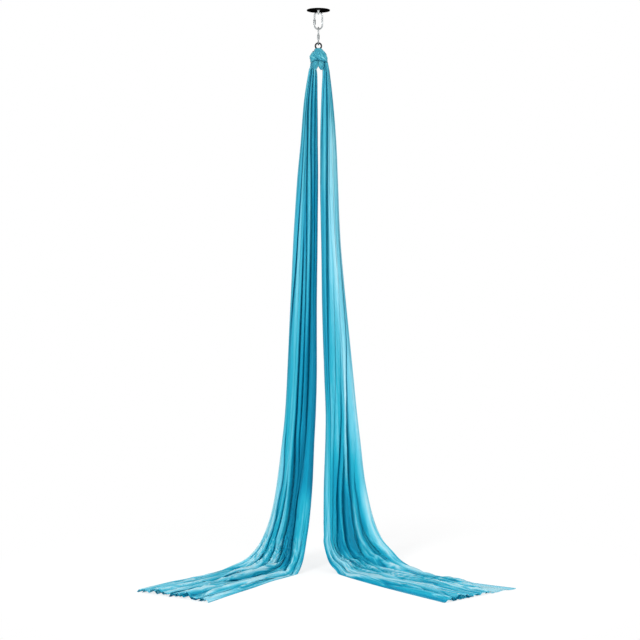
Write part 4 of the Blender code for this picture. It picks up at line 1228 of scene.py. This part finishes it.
def metalLook(name, finish):
    # a cloudy tone, fine grain in the surface, and on some a spot rubbed down to bare metal
    finish = {**commonFinish, **finish}
    made, tree = newMaterial(name)
    place = addNode(tree, "ShaderNodeTexCoord").outputs["Object"]
    grainPlace = addNode(tree, "ShaderNodeMapping", {"Vector": place, "Scale": finish["stretch"]})
    cloud = addNode(tree, "ShaderNodeTexNoise", {"Vector": place, "Scale": 90.0, "Detail": 5.0})
    grain = addNode(tree, "ShaderNodeTexNoise",
                    {"Vector": grainPlace, "Scale": float(finish["grain"]), "Detail": 3.0})
    colour = addNode(tree, "ShaderNodeValToRGB", {"Fac": cloud})
    setRamp(colour, [(0.38, finish["worn"]), (0.62, finish["colour"])])
    rough = addNode(tree, "ShaderNodeMapRange",
                    {"Value": cloud, "From Min": 0.35, "From Max": 0.65, "To Min": finish["rough"][1],
                     "To Max": finish["rough"][0]})
    metal = finish["metal"]
    if "rubbedAt" in finish:
        away = addNode(tree, "ShaderNodeVectorMath", {0: place, 1: finish["rubbedAt"]},
                       operation="DISTANCE")
        ragged = addNode(tree, "ShaderNodeMath", {0: grain, 1: 0.004, 2: away.outputs["Value"]},
                         operation="MULTIPLY_ADD")
        rubbed = addNode(tree, "ShaderNodeMapRange",
                         {"Value": ragged, "From Min": finish["rubbedReach"] * 1.5,
                          "From Max": finish["rubbedReach"]})
        colour = addNode(tree, "ShaderNodeMix", {0: rubbed, 6: colour, 7: linear(finish["bare"])},
                         data_type="RGBA").outputs[2]
        metal = addNode(tree, "ShaderNodeMapRange", {"Value": rubbed, "To Min": metal})
    bump = addNode(tree, "ShaderNodeBump", {"Height": grain, "Strength": 0.5, "Distance": finish["bump"]})
    shader = addNode(tree, "ShaderNodeBsdfPrincipled",
                     {"Base Color": colour, "Metallic": metal, "Roughness": rough, "Normal": bump,
                      "Specular IOR Level": finish["gloss"]})
    closeMaterial(tree, shader)
    return made


# The large metal parts: each node's own shape with its seams closed, its round faces shaded as
# round and its edges broken. Each gives its new name, body, slot and the width of its edges.
roundedParts = {
    "ceiling_plate": ("roundPlate", "mount", "plate_steel", 0.0006),
    "hanger_eye": ("weldedEye", "mount", "eye_steel", 0.0),
    "upper_carabiner_frame": ("upperCarabinerBow", "upper_carabiner", "carabiner_steel", 0.0),
    "upper_gate": ("upperGateBar", "upper_gate", "carabiner_steel", 0.0),
    "lower_carabiner_frame": ("lowerCarabinerBow", "lower_carabiner", "carabiner_steel", 0.0),
    "lower_gate": ("lowerGateBar", "lower_gate", "carabiner_steel", 0.0),
    "rescue_eight": ("blackEight", "eight", "eight_black", 0.0),
}


def roundPart(node, look):
    name, body, slot, edge = roundedParts[node]
    work = bmesh.new()
    work.from_mesh(nodes[node].data)
    bmesh.ops.remove_doubles(work, verts=work.verts, dist=1e-6)
    mesh = bpy.data.meshes.new(name)
    mesh.from_pydata([v.co[:] for v in work.verts], [], [[v.index for v in f.verts] for f in work.faces])
    work.free()
    mesh.materials.append(look)
    piece = bpy.data.objects.new(name, mesh)
    scene.collection.objects.link(piece)
    if edge:
        bevel = piece.modifiers.new("brokenEdge", "BEVEL")
        bevel.width = edge
        bevel.segments = 2
        bevel.limit_method = "ANGLE"
        bevel.angle_limit = math.radians(60)
        piece.data = plainMesh(piece)
        piece.modifiers.clear()
    piece.data.shade_smooth()
    piece.data.set_sharp_from_angle(angle=math.radians(38))
    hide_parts(node)
    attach(piece, body)


for name, finish in finishes.items():
    look = metalLook(name, finish)
    for node in finish["nodes"]:
        for place in nodes[node].material_slots:
            place.material = look
        if node in roundedParts:
            roundPart(node, look)
print("metal finishes on", sum(len(finish["nodes"]) for finish in finishes.values()), "nodes")

# Screw sleeves: turned and knurled, with straight ridges between two plain collars.
sleeve = {
    "bore": 0.0054,
    "collar": 0.0030,             # height of the plain band at each end
    "chamfer": 0.0007,
    "ridges": 34,
    "ridgeWidth": 0.0008,
    "ridgeDepth": 0.0009,
    "sides": 48,
    "finish": {"colour": "#909495", "worn": "#767A7C", "rough": (0.36, 0.50)},
}


def ridgeTree():
    # straight ridges evenly round a cylinder, added to the body that comes in
    tree, given = openTree("knurlRidges", {"Body": "Geometry", "Ridges": "Int", "Radius": "Float",
                                           "Width": "Float", "Depth": "Float", "Height": "Float",
                                           "Middle": "Vector", "Finish": "Material"})
    index = addNode(tree, "GeometryNodeInputIndex")
    step = addNode(tree, "ShaderNodeMath", {0: math.tau, 1: given["Ridges"]}, operation="DIVIDE")
    angle = addNode(tree, "ShaderNodeMath", {0: index, 1: step}, operation="MULTIPLY")
    across = addNode(tree, "ShaderNodeMath", {0: angle}, operation="COSINE")
    along = addNode(tree, "ShaderNodeMath", {0: angle}, operation="SINE")
    way = addNode(tree, "ShaderNodeCombineXYZ", {"X": across, "Y": along})
    out = addNode(tree, "ShaderNodeVectorMath", {0: way, "Scale": given["Radius"]}, operation="SCALE")
    place = addNode(tree, "ShaderNodeVectorMath", {0: out, 1: given["Middle"]}, operation="ADD")
    points = addNode(tree, "GeometryNodePoints", {"Count": given["Ridges"], "Position": place})
    size = addNode(tree, "ShaderNodeCombineXYZ",
                   {"X": given["Depth"], "Y": given["Width"], "Z": given["Height"]})
    ridge = addNode(tree, "GeometryNodeMeshCube", {"Size": size})
    turned = addNode(tree, "ShaderNodeCombineXYZ", {"Z": angle})
    placed = addNode(tree, "GeometryNodeInstanceOnPoints",
                     {"Points": points, "Instance": ridge, "Rotation": turned})
    real = addNode(tree, "GeometryNodeRealizeInstances", {"Geometry": placed})
    both = addNode(tree, "GeometryNodeJoinGeometry")
    tree.links.new(given["Body"], both.inputs[0])
    tree.links.new(real.outputs[0], both.inputs[0])
    done = addNode(tree, "GeometryNodeSetMaterial", {"Geometry": both, "Material": given["Finish"]})
    addNode(tree, "NodeGroupOutput", {"Geometry": done})
    return tree


def makeSleeve(word, look, tree):
    low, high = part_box(f"{word}_gate_sleeve")
    low, high = Vector(low), Vector(high)
    middle = (low + high) / 2
    outer = (high.x - low.x) / 2
    tall = high.z - low.z
    root = outer - sleeve["ridgeDepth"] * 0.7
    bevel, collar = sleeve["chamfer"], sleeve["collar"]
    profile = [
        (sleeve["bore"], -tall / 2), (outer - bevel, -tall / 2), (outer, -tall / 2 + bevel),
        (outer, -tall / 2 + collar), (root, -tall / 2 + collar + bevel),
        (root, tall / 2 - collar - bevel), (outer, tall / 2 - collar),
        (outer, tall / 2 - bevel), (outer - bevel, tall / 2), (sleeve["bore"], tall / 2),
    ]
    spots = []
    for i in range(sleeve["sides"]):
        turn = math.tau * i / sleeve["sides"]
        for radius, height in profile:
            spots.append(middle + Vector((radius * math.cos(turn), radius * math.sin(turn), height)))
    faces = gridFaces(sleeve["sides"], len(profile), joinRows=True, joinColumns=True, turned=True)
    piece = makeMesh(f"{word}ScrewSleeve", spots, faces, look)
    applyTree(piece, tree, Ridges=sleeve["ridges"], Radius=root, Width=sleeve["ridgeWidth"],
              Depth=sleeve["ridgeDepth"], Height=tall - 2 * collar - bevel, Middle=tuple(middle), Finish=look)
    piece.data.set_sharp_from_angle(angle=math.radians(35))
    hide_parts(f"{word}_gate_sleeve")
    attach(piece, f"{word}_sleeve")
    return piece


sleeveLook = metalLook("knurledSteel", sleeve["finish"])
knurl = ridgeTree()
for word in carabiners:
    made = makeSleeve(word, sleeveLook, knurl)
    print(made.name, len(made.data.polygons), "faces")
